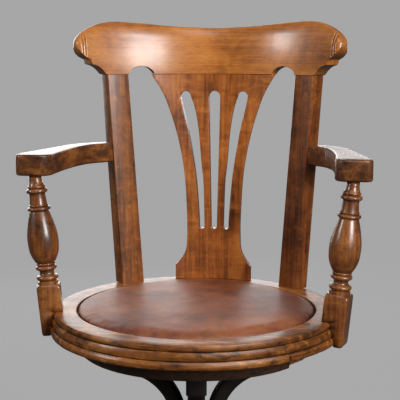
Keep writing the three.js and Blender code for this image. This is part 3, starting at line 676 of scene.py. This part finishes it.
def arm(side, word):
    """A level S-curved board that ends at its stile's outer face."""
    outline = [(side * x, y) for x, y in spline(ARM_INNER) + ARM_FRONT + spline(ARM_OUTER)]
    bm = board(word, [outline], ARM_HIGH - ARM_LOW, ARM_EDGE)
    at = ARM_MIDDLE / JOINT_Z
    front_outer = Vector(STILE_FOOT[1]).lerp(Vector(STILE_TOP[1]), at)
    back_outer = Vector(STILE_FOOT[2]).lerp(Vector(STILE_TOP[2]), at)
    run = (back_outer - front_outer).normalized()
    out = Vector((run.y, -run.x))
    rise = (STILE_TOP[1][0] - STILE_FOOT[1][0]) / JOINT_Z
    for vertex in bm.verts:
        vertex.co.z += ARM_MIDDLE * MM + RIM_Z
    beyond = front_outer + out * JOINT_GAP
    on_face = place(side * beyond.x, beyond.y, ARM_MIDDLE)
    normal = Vector((side * out.x, out.y, -rise * out.x)).normalized()
    obj = made(word + "_arm_board", sliced(bm, on_face, -normal), 32)
    grain(obj, lambda co: (-co.y, side * co.x + co.y * 0.25, co.z))
    return piece(obj, "seat", ARM_WOOD, "walnut", word + "_arm")


SUPPORT_X, SUPPORT_Y = 228.2, -56
SUPPORT_LEAN = math.atan(0.1034)
BLOCK = 37
BLOCK_LOW = -38.7
VASE = [(15.6, 162.2), (19, 150), (21.6, 139), (24.0, 126), (24.6, 113), (23.4, 98), (19.7, 87),
        (15.3, 79.2)]


def support_profile():
    """The turned part's (radius, height) pairs from the top down."""
    return ([(0, 222), (9.8, 222), (9.9, 214), (10.6, 209), (11.9, 205.5), (12.6, 203.9)]
            + bead(203.9, 199.3, 12.8, 14.2, 5) + bead(199.0, 191.4, 13.4, 17.0, 9)
            + [(12.7, 190.9), (12.6, 187), (13.2, 180), (14.0, 174.4)]
            + bead(173.4, 170.2, 14.2, 15.8, 5) + bead(169.9, 163.0, 14.8, 18.5, 9)
            + spline(VASE)
            + bead(78.4, 74.6, 14.0, 15.4, 5) + bead(74.3, 66.8, 13.2, 17.0, 9)
            + [(11.9, 65.2), (11.35, 62), (12.2, 59.4)]
            + bead(58.4, 50.4, 13.6, 17.7, 9)
            + [(14.6, 49.4), (16.6, 48), (16.8, 43.5), (16.8, 36), (0, 36)])


def block_rings():
    """Sections of the square foot: turned shoulders above, soft edges below.

    A level is its height, its width and the radius of its corners.
    """
    levels = [(44.2, 33.4, 15.8), (43.7, 35.4, 12.5), (42.7, 36.5, 8), (41.2, 36.9, 4.5), (38, BLOCK, 2.4)]
    levels += [(z, BLOCK, 1.6) for z in (28, 10, -10, -28)]
    levels += [(-34, BLOCK - 0.2, 2.2), (-36.6, BLOCK - 1.4, 3), (-38.1, BLOCK - 3.6, 4),
               (BLOCK_LOW, BLOCK - 7, 5)]
    return [[Vector((x * MM, y * MM, z * MM)) for x, y in rounded(width, width, radius)]
            for z, width, radius in levels]


def arm_support(side, word):
    """A leaning turned baluster on a square foot, which is notched over the seat's ring."""
    stand = (Matrix.Translation((side * SUPPORT_X * MM, SUPPORT_Y * MM, 0))
             @ Matrix.Rotation(side * SUPPORT_LEAN, 4, "Y"))
    turned = made(word + "_baluster", lathe(support_profile(), 64, stand), 42)
    foot_bm = loft(block_rings())
    foot_bm.transform(Matrix.Translation((0, 0, RIM_Z)) @ stand
                      @ Matrix.Rotation(-side * math.atan2(-SUPPORT_Y, SUPPORT_X), 4, "Z"))
    foot = made(word + "_foot", foot_bm, 32)
    rim = lathe([(0, -0.1), (229.5, -0.1), (230, -2), (229, -9.4), (231.6, -14), (232.8, -21.8),
                 (234.4, -24.5), (236.8, -34), (236.8, -70), (0, -70)], 160)
    foot = combined(foot, made("cutter", rim), "DIFFERENCE")
    low, high, wide = ARM_LOW - JOINT_GAP, ARM_LOW + 60, 400
    above = lathe([(0, low), (wide, low), (wide, high), (0, high)], 16)
    turned = combined(turned, made("cutter", above), "DIFFERENCE")
    bpy.context.view_layer.objects.active = turned
    for part in (turned, foot):
        part.select_set(True)
    with bpy.context.temp_override(active_object=turned, selected_editable_objects=[turned, foot]):
        bpy.ops.object.join()
    turned.select_set(False)
    turned.name = word + "_turned_support"
    grain(turned, lambda co: (co.z, co.x, co.y))
    return piece(turned, "seat", TURNED_WOOD, "walnut", word + "_arm_support")


# ---- seat ----
def reed(z_top, z_bottom, r_top, r_bottom, swell, steps=8):
    """A moulded reed on the rim's edge, leaning out as it goes down."""
    out = []
    for k in range(steps + 1):
        t = k / steps
        r = r_top + (r_bottom - r_top) * t + swell * math.sin(math.pi * t)
        out.append((r, z_top + (z_bottom - z_top) * t))
    return out


CHIP_TURN = -45.6
CHIP_DEPTH, CHIP_WIDTH, CHIP_TOP = 5.0, 0.0065, -26
WORN_DEPTH, WORN_TURN, WORN_TOP = 1.3, 0.3, -28


def seat_ring():
    """The worn reeded ring, with one chip in its lower edge and a rubbed stretch beside it."""
    profile = ([(195.2, -1.0), (196.2, 0), (212, 0.05), (227.6, 0), (229.2, -0.5), (230, -1.6)]
               + reed(-2.0, -8.4, 230.1, 230.3, 0.9, 5) + [(228.6, -9.0), (228.8, -9.9)]
               + reed(-10.4, -21.8, 231.2, 233.2, 1.3) + [(231.4, -22.6), (231.5, -23.5)]
               + reed(-24.0, -34.0, 234.2, 237.0, 1.2)
               + [(236.2, -35.3), (234, -36), (150, -36), (150, -12), (195.2, -12)])
    chip_at = math.radians(CHIP_TURN)
    angles = sorted([2 * math.pi * k / 288 for k in range(288)]
                    + [chip_at + 2 * math.pi + 0.0022 * k for k in range(-20, 60)])
    bm = lathe(profile, angles, closes=True)
    for vertex in bm.verts:
        co = vertex.co
        r, z = math.hypot(co.x, co.y) / MM, (co.z - RIM_Z) / MM
        if r < 226 or z < -35.9:
            continue
        wear = noise.noise(co * 38) * 0.35 + noise.noise(co * 160) * 0.22
        turn = math.atan2(co.y, co.x) - chip_at
        if z < CHIP_TOP:
            wear -= CHIP_DEPTH * math.exp(-(turn / CHIP_WIDTH) ** 2) * eased((CHIP_TOP - z) / 5)
        if z < WORN_TOP and 0.0 < turn < WORN_TURN:
            wear -= WORN_DEPTH * (0.6 + noise.noise(co * 140))
        vertex.co += Vector((co.x, co.y, 0)).normalized() * wear * MM
    obj = made("moulded_ring", bm, 30)
    grain(obj, lambda co: (math.atan2(co.y, co.x) * 0.23, math.hypot(co.x, co.y), co.z))
    return piece(obj, "seat", RIM_WOOD, "walnut", "seat_ring")


PAD_RADIUS = 191.9
PAD_LOW = -7
PAD_RISE_CAP = 2.5
PAD_VOXEL = 4.5


def seat_pad():
    """The leather pad: a thin domed form, blown up a little by a cloth simulation."""
    profile = [(0, PAD_LOW), (PAD_RADIUS - 1, PAD_LOW), (PAD_RADIUS, PAD_LOW + 1), (PAD_RADIUS, -0.2),
               (PAD_RADIUS - 1.2, 1.4), (PAD_RADIUS - 5, 2.6), (PAD_RADIUS - 20, 4.6), (140, 6.4), (90, 8.0),
               (45, 8.9), (0, 9.2)]
    obj = made("leather_pad", lathe(profile, 128), 60)
    remesh = obj.modifiers.new("remesh", "REMESH")
    remesh.mode = "VOXEL"
    remesh.voxel_size = PAD_VOXEL * MM
    applied(obj)
    before = [v.co.copy() for v in obj.data.vertices]
    cloth = obj.modifiers.new("cloth", "CLOTH")
    cloth.settings.use_pressure = True
    cloth.settings.uniform_pressure_force = 4
    cloth.settings.effector_weights.gravity = 0
    for step in range(1, 21):
        bpy.context.scene.frame_set(step)
    applied(obj)
    bpy.context.scene.frame_set(1)
    for vertex, start in zip(obj.data.vertices, before):
        moved = vertex.co - start
        if moved.length > PAD_RISE_CAP * MM:
            moved.length = PAD_RISE_CAP * MM
        co = start + moved
        r = math.hypot(co.x, co.y) / MM
        if r > PAD_RADIUS - 4:
            co.x, co.y = co.x * PAD_RADIUS / r, co.y * PAD_RADIUS / r
        co.z = max(co.z, RIM_Z + (PAD_LOW - 0.1) * MM)
        if co.z > RIM_Z:
            co.z += (noise.noise(Vector((co.x * 9, co.y * 9, 0))) * 0.9
                     + noise.noise(Vector((co.x * 30, co.y * 30, 5))) * 0.25) * MM
        vertex.co = co
    smooth = obj.modifiers.new("smooth", "SMOOTH")
    smooth.iterations = 2
    subdivide = obj.modifiers.new("subdivide", "SUBSURF")
    subdivide.levels = subdivide.render_levels = 1
    applied(obj)
    obj.data.shade_smooth()
    return piece(obj, "seat", HIDE, "leather", "seat_pad")


BOARD_TOP = [(0, -36.4), (204.2, -36.4), (205, -37.2)]
BOARD_JOINT_X, BOARD_JOINT_GAP = 159, 2.4
EDGE_BOTTOM_Z = -57


def under_board():
    """The dark chamfered board under the ring, up to its open joint."""
    bm = lathe(BOARD_TOP + [(205, -44), (203.8, -47), (191, -64), (189, -65.6), (187, -66), (0, -66)], 192)
    obj = made("dark_board", sliced(bm, (BOARD_JOINT_X * MM, 0, 0), (1, 0, 0)), 30)
    grain(obj, lambda co: (co.y, co.x, co.z))
    return piece(obj, "seat", BOARD_WOOD, "dark_board", "under_board")


def under_board_edge():
    """The short worn end of the board beyond the joint, split away below."""
    bm = lathe(BOARD_TOP + [(205, -42), (204, -47), (200, EDGE_BOTTOM_Z), (0, EDGE_BOTTOM_Z)], 384)
    bm = sliced(bm, ((BOARD_JOINT_X + BOARD_JOINT_GAP) * MM, 0, 0), (-1, 0, 0))
    for vertex in bm.verts:
        if vertex.co.z < RIM_Z - 40 * MM:
            rough = noise.noise(vertex.co * 130)
            vertex.co.z += (1.2 + 1.2 * rough) * MM
            vertex.co.x -= (0.5 + rough) * 0.6 * MM
    obj = made("worn_board_edge", bm, 30)
    grain(obj, lambda co: (co.y, co.x, co.z))
    return piece(obj, "seat", RIM_WOOD, "dark_board", "under_board_edge")


# ---- swivel and height screw ----
SCREW_PITCH = 8
SCREW_TOP, SCREW_BOTTOM = -101, -285
ROOT_RADIUS, THREAD_DEPTH = 9.0, 1.5
STRAP_Z, STRAP_STEP = -69.3, 0.00002


def turned_ring(radii, z):
    """Points spaced evenly round the swivel axis at one height, each at its own radius."""
    ring = []
    for i, radius in enumerate(radii):
        angle = 2 * math.pi * i / len(radii)
        x, y = radius * MM * math.cos(angle), radius * MM * math.sin(angle)
        ring.append(Vector((x, y, z * MM + RIM_Z)))
    return ring


def seat_plate():
    """An iron boss under two crossed straps, whose faces lie a hair apart."""
    boss = [(13, -90), (20, -90), (21, -89), (21, -76), (24, -72.6), (13, -72.6)]
    straps = made("iron_plate", lathe(boss, 64, closes=True), 35)
    for turn in (45, 135):
        bm = board("strap", [arc(68, 0, 18, -90, 90) + arc(-68, 0, 18, 90, 270)], 6, 0.8)
        bm.transform(Matrix.Translation((0, 0, RIM_Z + STRAP_Z * MM + (turn == 135) * STRAP_STEP))
                     @ Matrix.Rotation(math.radians(turn), 4, "Z"))
        combined(straps, made("strap", bm, 35), "UNION")
    return piece(straps, "seat", IRON, "black_iron", "seat_plate")


def spindle():
    """The height screw: a coarse thread of real grooves below its collar."""
    rows = int((SCREW_TOP - SCREW_BOTTOM) / SCREW_PITCH * 12)
    grid = []
    for k in range(rows + 1):
        z = SCREW_TOP + (SCREW_BOTTOM - SCREW_TOP) * k / rows
        phases = [(i / 40 + z / SCREW_PITCH) % 1.0 for i in range(40)]
        roots = [max(0.0, min(1.0, 2.4 * abs(phase - 0.5) * 2 - 0.7)) for phase in phases]
        grid.append(turned_ring([ROOT_RADIUS + THREAD_DEPTH * (1 - root) for root in roots], z))
    bm = loft(grid)
    head = lathe([(9, -101.2), (9, -99.6), (18.2, -99.6), (19, -98.8), (19, -94.6), (18.2, -93.8),
                  (12.2, -93.6), (12.2, -74), (11.4, -72.8), (0, -72.8), (0, -101.2)], 64)
    mesh = bpy.data.meshes.new("head")
    head.to_mesh(mesh)
    head.free()
    bm.from_mesh(mesh)
    obj = made("height_screw", bm, 40)
    return piece(obj, "spindle", STEEL, "steel", "spindle")


def height_nut():
    """A hand nut: a turned body with four finger lugs."""
    levels = [(-99.9, 0.90), (-101, 0.97), (-103, 1.0), (-114, 1.0), (-116, 0.97), (-117, 0.90)]
    lugs = [20.4 + 3.2 * max(0.0, math.cos(4 * (2 * math.pi * i / 96))) ** 3 for i in range(96)]
    rings = [turned_ring([radius * scale for radius in lugs], z) for z, scale in levels]
    hole = [turned_ring([10.8] * 96, z) for z in (-117, -99.9)]
    obj = made("hand_nut", loft(rings + hole, loop=True), 35)
    return piece(obj, "height_nut", IRON, "black_iron", "height_nut")


# ---- base ----
LEG = 27
LEG_TOP = -83.7
BEND_RADIUS = 97.5
BEND_CENTRE = 126.6
PAD_INNER, PAD_OUTER, PAD_WIDTH = 104, 130, 32
SPLAY = math.radians(76)
PATH_STEP = 0.011
RIDGE_HALF, RIDGE_RISE = 3.2, 0.6


def walk(start, heading, steps):
    """Walks a path in the (radius, height) plane; each step is (length, 0) or (radius, turn)."""
    stations = [(*start, heading)]
    for size, turn in steps:
        count = max(2, int(abs(turn) / math.radians(5)))
        if not turn:
            count = max(1, int(size / 12))
        for _ in range(count):
            r, z, facing = stations[-1]
            bend = turn / count
            length = 2 * size * math.sin(abs(bend) / 2) if turn else size / count
            middle = facing + bend / 2
            stations.append((r + length * math.cos(middle), z + length * math.sin(middle), facing + bend))
    return stations


LEG_PATH = walk((PAD_OUTER - 2, LEG_TOP - LEG / 2), math.pi, [
    (PAD_OUTER - 2 - BEND_CENTRE, 0), (BEND_RADIUS, math.pi / 2), (52, 0), (95, SPLAY), (122, 0),
    (35, -SPLAY), (4, 0)])
FOOT_R, FOOT_Z = LEG_PATH[-1][:2]


def spoke_turn(k):
    """The turn of a leg about the swivel axis."""
    return Matrix.Rotation(BASE_TURN + (k - 1) * math.pi / 2, 4, "Z")


def leg_section():
    """A rounded square with a low bead along the outer and inner faces."""
    square = rounded(LEG - 1.2, LEG, 7.5, 5)
    half = len(square) // 2
    outer = [(LEG / 2 - RIDGE_RISE + RIDGE_RISE * math.cos(v / RIDGE_HALF * math.pi / 2), v)
             for v in (-RIDGE_HALF, -RIDGE_HALF / 2, 0, RIDGE_HALF / 2, RIDGE_HALF)]
    inner = [(-u, -v) for u, v in outer]
    return square[-1:] + outer + square[:half] + inner + square[half:-1]


def leg_grain(co):
    """Along, across and depth of a point on a bent leg that still lies in the XZ plane."""
    r, z = co.x / MM, (co.z - RIM_Z) / MM
    nearest = min(range(len(LEG_PATH)),
                  key=lambda i: (LEG_PATH[i][0] - r) ** 2 + (LEG_PATH[i][1] - z) ** 2)
    path_r, path_z, facing = LEG_PATH[nearest]
    across = (r - path_r) * -math.sin(facing) + (z - path_z) * math.cos(facing)
    return (nearest * PATH_STEP, co.y, across * MM)


def leg(k):
    """A bent leg: in under the head ring, down the tube, then out to its castor."""
    section = leg_section()
    rings = []
    for r, z, facing in LEG_PATH:
        rings.append([Vector(((r - u * math.sin(facing)) * MM, v * MM,
                              (z + u * math.cos(facing)) * MM + RIM_Z)) for u, v in section])
    obj = made(WORDS[k] + "_bent_leg", loft(rings), 40)
    thickness = LEG - 2
    bm = board("pad", [rounded(PAD_OUTER - PAD_INNER, PAD_WIDTH, 4)], thickness, 1.4)
    bm.transform(Matrix.Translation(((PAD_OUTER + PAD_INNER) / 2 * MM, 0,
                                     RIM_Z + (LEG_TOP - thickness / 2) * MM)))
    combined(obj, made("pad", bm, 35), "UNION")
    grain(obj, leg_grain)
    obj.data.transform(spoke_turn(k))
    return piece(obj, "base", LEG_WOOD, "ebonised_wood", WORDS[k] + "_leg")


def ring_piece(name, inner, outer, low, high, material, slot_name, body, node, edge=0.8):
    """A flat ring with its edges broken."""
    profile = [(inner, low + edge), (inner + edge, low), (outer - edge, low), (outer, low + edge),
               (outer, high - edge), (outer - edge, high), (inner + edge, high), (inner, high - edge)]
    obj = made(name, lathe(profile, 128, closes=True), 50)
    return piece(obj, body, material, slot_name, node)


def nut_tube():
    """The flanged tube that guides the screw."""
    profile = [(10.8, -118), (11.4, -117.4), (18, -117.4), (18.6, -118), (18.6, -121.6), (17.8, -122.6),
               (14.8, -125.4), (14.6, -127), (14.6, -290.8), (13.4, -292), (11.4, -292), (10.8, -291.4)]
    obj = made("guide_tube", lathe(profile, 64, closes=True), 35)
    return piece(obj, "base", IRON, "black_iron", "nut_tube")


# ---- castors ----
WHEEL_RADIUS, WHEEL_WIDTH, TRAIL = 21, 14, 15
CHEEK = 3
AXLE_Z = -RIM_Z / MM + WHEEL_RADIUS
CLEARANCE = 0.3
FLANGE = 2
HORN_TOP = FOOT_Z - CLEARANCE - FLANGE - CLEARANCE


def castor_place(k):
    """Where a castor stands, for a shape made about the swivel axis."""
    return spoke_turn(k) @ Matrix.Translation((FOOT_R * MM, 0, 0)) @ Matrix.Rotation(math.pi / 2, 4, "Z")


def castor_horn(k):
    """A stem over two cheeks that trail the axle."""
    low = HORN_TOP - 5
    stem = lathe([(0, low - 0.4), (8, low - 0.2), (11, low + 0.4), (12.3, low + 1.8), (12.5, low + 3.6),
                  (11.8, HORN_TOP), (4.4, HORN_TOP), (4.4, HORN_TOP + 28), (3.4, HORN_TOP + 29.5),
                  (0, HORN_TOP + 29.6)], 48)
    obj = made(WORDS[k] + "_horn", stem, 40)
    back = spline([(9.5, low), (14, AXLE_Z + 18), (21, AXLE_Z + 8), (22, AXLE_Z)], 5)
    front = spline([(7.6, AXLE_Z + 2), (1, AXLE_Z + 16), (-6, low - 6)], 5)
    outline = [(-9, low + 1.2), (9, low + 1.2)] + back + arc(TRAIL, AXLE_Z, 7, 0, -150, 10) + front
    for sign in (-1, 1):
        bm = board("cheek", [outline], CHEEK, 0.7)
        middle = sign * (WHEEL_WIDTH / 2 + 1 + CHEEK / 2)
        bm.transform(Matrix.Translation((0, middle * MM, RIM_Z)) @ Matrix.Rotation(math.pi / 2, 4, "X"))
        combined(obj, made("cheek", bm, 35), "UNION")
    obj.data.transform(castor_place(k))
    return piece(obj, WORDS[k] + "_castor", BRASS, "brass", WORDS[k] + "_castor_horn")


def on_axle(profile, segments, k, closes):
    """A bmesh turned about a castor's axle."""
    bm = lathe(profile, segments, closes=closes)
    bm.transform(castor_place(k) @ Matrix.Translation((TRAIL * MM, 0, RIM_Z + AXLE_Z * MM))
                 @ Matrix.Rotation(math.pi / 2, 4, "X") @ Matrix.Translation((0, 0, -RIM_Z)))
    return bm


def castor_wheel(k):
    """A solid wheel with a hub and a rounded tread."""
    half = WHEEL_WIDTH / 2
    edge = [(3.4, -half), (6, -half), (6.6, -half + 1.2), (15.5, -half + 1.6), (16.2, -half + 0.2),
            (18.5, -half + 0.3), (20.4, -half + 1.6), (WHEEL_RADIUS, -half + 3.6)]
    profile = edge + [(r, -z) for r, z in reversed(edge)]
    obj = made(WORDS[k] + "_roller", on_axle(profile, 96, k, True), 35)
    return piece(obj, WORDS[k] + "_wheel", BRASS, "brass", WORDS[k] + "_castor_wheel")


def castor_axle(k):
    """A pin with a riveted head outside each cheek."""
    reach = WHEEL_WIDTH / 2 + 1 + CHEEK + CLEARANCE
    half = [(3, 0), (3, reach), (5, reach), (5, reach + 0.7), (4, reach + 1.7), (0, reach + 2)]
    profile = [(r, -z) for r, z in reversed(half)] + half[1:]
    obj = made(WORDS[k] + "_axle_pin", on_axle(profile, 32, k, False), 35)
    return piece(obj, WORDS[k] + "_castor", STEEL, "steel", WORDS[k] + "_castor_axle")


def castor_socket(k):
    """The flanged sleeve that the castor's stem turns in."""
    top = FOOT_Z - CLEARANCE
    profile = [(4.7, top - FLANGE), (11, top - FLANGE), (12, top - 1.2), (12, top - 0.4), (11.4, top),
               (6.5, top), (6.5, top + 30), (4.7, top + 30)]
    obj = made(WORDS[k] + "_socket", lathe(profile, 48, castor_place(k), True), 35)
    return piece(obj, "base", BRASS, "brass", WORDS[k] + "_castor_socket")


# ---- putting it together ----
crest_rail()
splat()
level = [seat_ring(), seat_pad()]
for hand, side_word in ((-1, "right"), (1, "left")):
    stile(hand, side_word)
    level.append(arm(hand, side_word))
    arm_support(hand, side_word)
under_board()
under_board_edge()
seat_plate()
spindle()
height_nut()
nut_tube()
ring_piece("bearing_washer", 12.6, 20, -93.3, -90.3, BRASS, "brass", "spindle", "thrust_washer", 0.4)
ring_piece("top_ring", 102, 129, -83.4, -76.4, IRON, "black_iron", "base", "head_ring")
BAND_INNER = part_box("upper_band")[1].x / MM - 4
for band, top in (("upper_band", -199), ("lower_band", -231)):
    ring_piece(band + "_iron", BAND_INNER, BAND_INNER + 4, top - 13, top, IRON, "black_iron", "base", band)
for spoke in range(4):
    leg(spoke)
    castor_horn(spoke)
    castor_wheel(spoke)
    castor_axle(spoke)
    castor_socket(spoke)

for node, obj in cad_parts.items():
    if "screw" in node or node == "pad_board":
        for slot in obj.material_slots:
            slot.material = BOARD_WOOD if node == "pad_board" else STEEL


# ---- stage, lights and camera ----
STAGE_GREY = 0.378


def cyclorama():
    """A round studio: a pale floor that curves up all round into a plain grey wall."""
    net = Net("stage_grey")
    shade = net.fit(net.noise(net.position(), 1.5, 2), 0.03, 0.035)
    net.finish(net.mix(1.0, (1.0, 1.0, 1.0), shade, "MULTIPLY"), 0.95, Specular_IOR_Level=0.0,
               Emission_Color=(STAGE_GREY, STAGE_GREY, STAGE_GREY, 1), Emission_Strength=1.0)
    radius, bend, height = 5000, 1200, 5500
    cove = [(radius - bend + bend * math.sin(math.radians(a)), bend - bend * math.cos(math.radians(a)))
            for a in range(6, 90, 6)]
    profile = [(0, 0), (radius - bend, 0)] + cove + [(radius, bend), (radius, height)]
    obj = made("backdrop", lathe([(r, z - RIM_Z / MM) for r, z in profile], 64), 60)
    obj.data.materials.append(net.material)
    obj.visible_diffuse = False
    obj.visible_glossy = False
    obj.visible_shadow = False


def softbox(name, azimuth, elevation, distance, width, height, power, aim=0.8):
    """An area light round the chair, turned to a point aim metres above the floor.

    azimuth is from the front towards +X, in degrees.
    """
    data = bpy.data.lights.new(name, "AREA")
    data.shape = "RECTANGLE"
    data.size, data.size_y = width, height
    data.energy = power
    obj = bpy.data.objects.new(name, data)
    bpy.context.scene.collection.objects.link(obj)
    a, e = math.radians(azimuth), math.radians(elevation)
    target = Vector((0, 0, aim))
    away = Vector((math.sin(a) * math.cos(e), -math.cos(a) * math.cos(e), math.sin(e)))
    obj.location = target + away * distance
    obj.rotation_euler = away.to_track_quat("Z", "Y").to_euler()
    obj.visible_camera = False
    return obj


def linked(light, objects, state):
    """Makes a light shine only on the given pieces (INCLUDE), or on all but them (EXCLUDE)."""
    group = bpy.data.collections.new(light.name + "_pieces")
    light.light_linking.receiver_collection = group
    for obj in objects:
        group.objects.link(obj)
    for item in group.collection_objects:
        item.light_linking.link_state = state


CAMERA_AT = place(255, -1669, 427)
CAMERA_YAW, CAMERA_PITCH = math.radians(8.48), math.radians(-8.45)
CAMERA_LENS = 95.2


def photo_camera():
    """Seen from the front, a little to the sitter's left and above."""
    data = bpy.data.cameras.new("camera")
    data.sensor_width = 36.0
    data.lens = CAMERA_LENS
    obj = bpy.data.objects.new("camera", data)
    bpy.context.scene.collection.objects.link(obj)
    obj.location = CAMERA_AT
    level_part = math.cos(CAMERA_PITCH)
    look = Vector((-math.sin(CAMERA_YAW) * level_part, math.cos(CAMERA_YAW) * level_part,
                   math.sin(CAMERA_PITCH)))
    obj.rotation_euler = look.to_track_quat("-Z", "Y").to_euler()
    bpy.context.scene.camera = obj


cyclorama()
# The level surfaces have a higher, broader key: a low one is a bare glare from behind.
linked(softbox("key", 45, 13, 2.6, 0.98, 0.85, 56), level, "EXCLUDE")
linked(softbox("broad_key", 44.5, 30, 2.6, 2.0, 1.5, 56), level, "INCLUDE")
softbox("front_fill", 4, 46, 2.8, 1.3, 1.0, 14)
softbox("side_fill", -64, 18, 2.6, 0.5, 0.4, 16)
softbox("back_light", 206, 13, 2.35, 2.4, 1.35, 26, aim=0.62)
softbox("arm_glow", 169.5, 6, 2.2, 0.6, 0.25, 1.2, aim=0.62)
softbox("overhead", 0, 86, 2.6, 2.0, 2.0, 6)
photo_camera()

world = bpy.data.worlds.new("studio")
world.use_nodes = True
world.node_tree.nodes["Background"].inputs["Color"].default_value = (1, 1, 1, 1)
world.node_tree.nodes["Background"].inputs["Strength"].default_value = 0.06
bpy.context.scene.world = world
bpy.context.scene.view_settings.view_transform = "Standard"
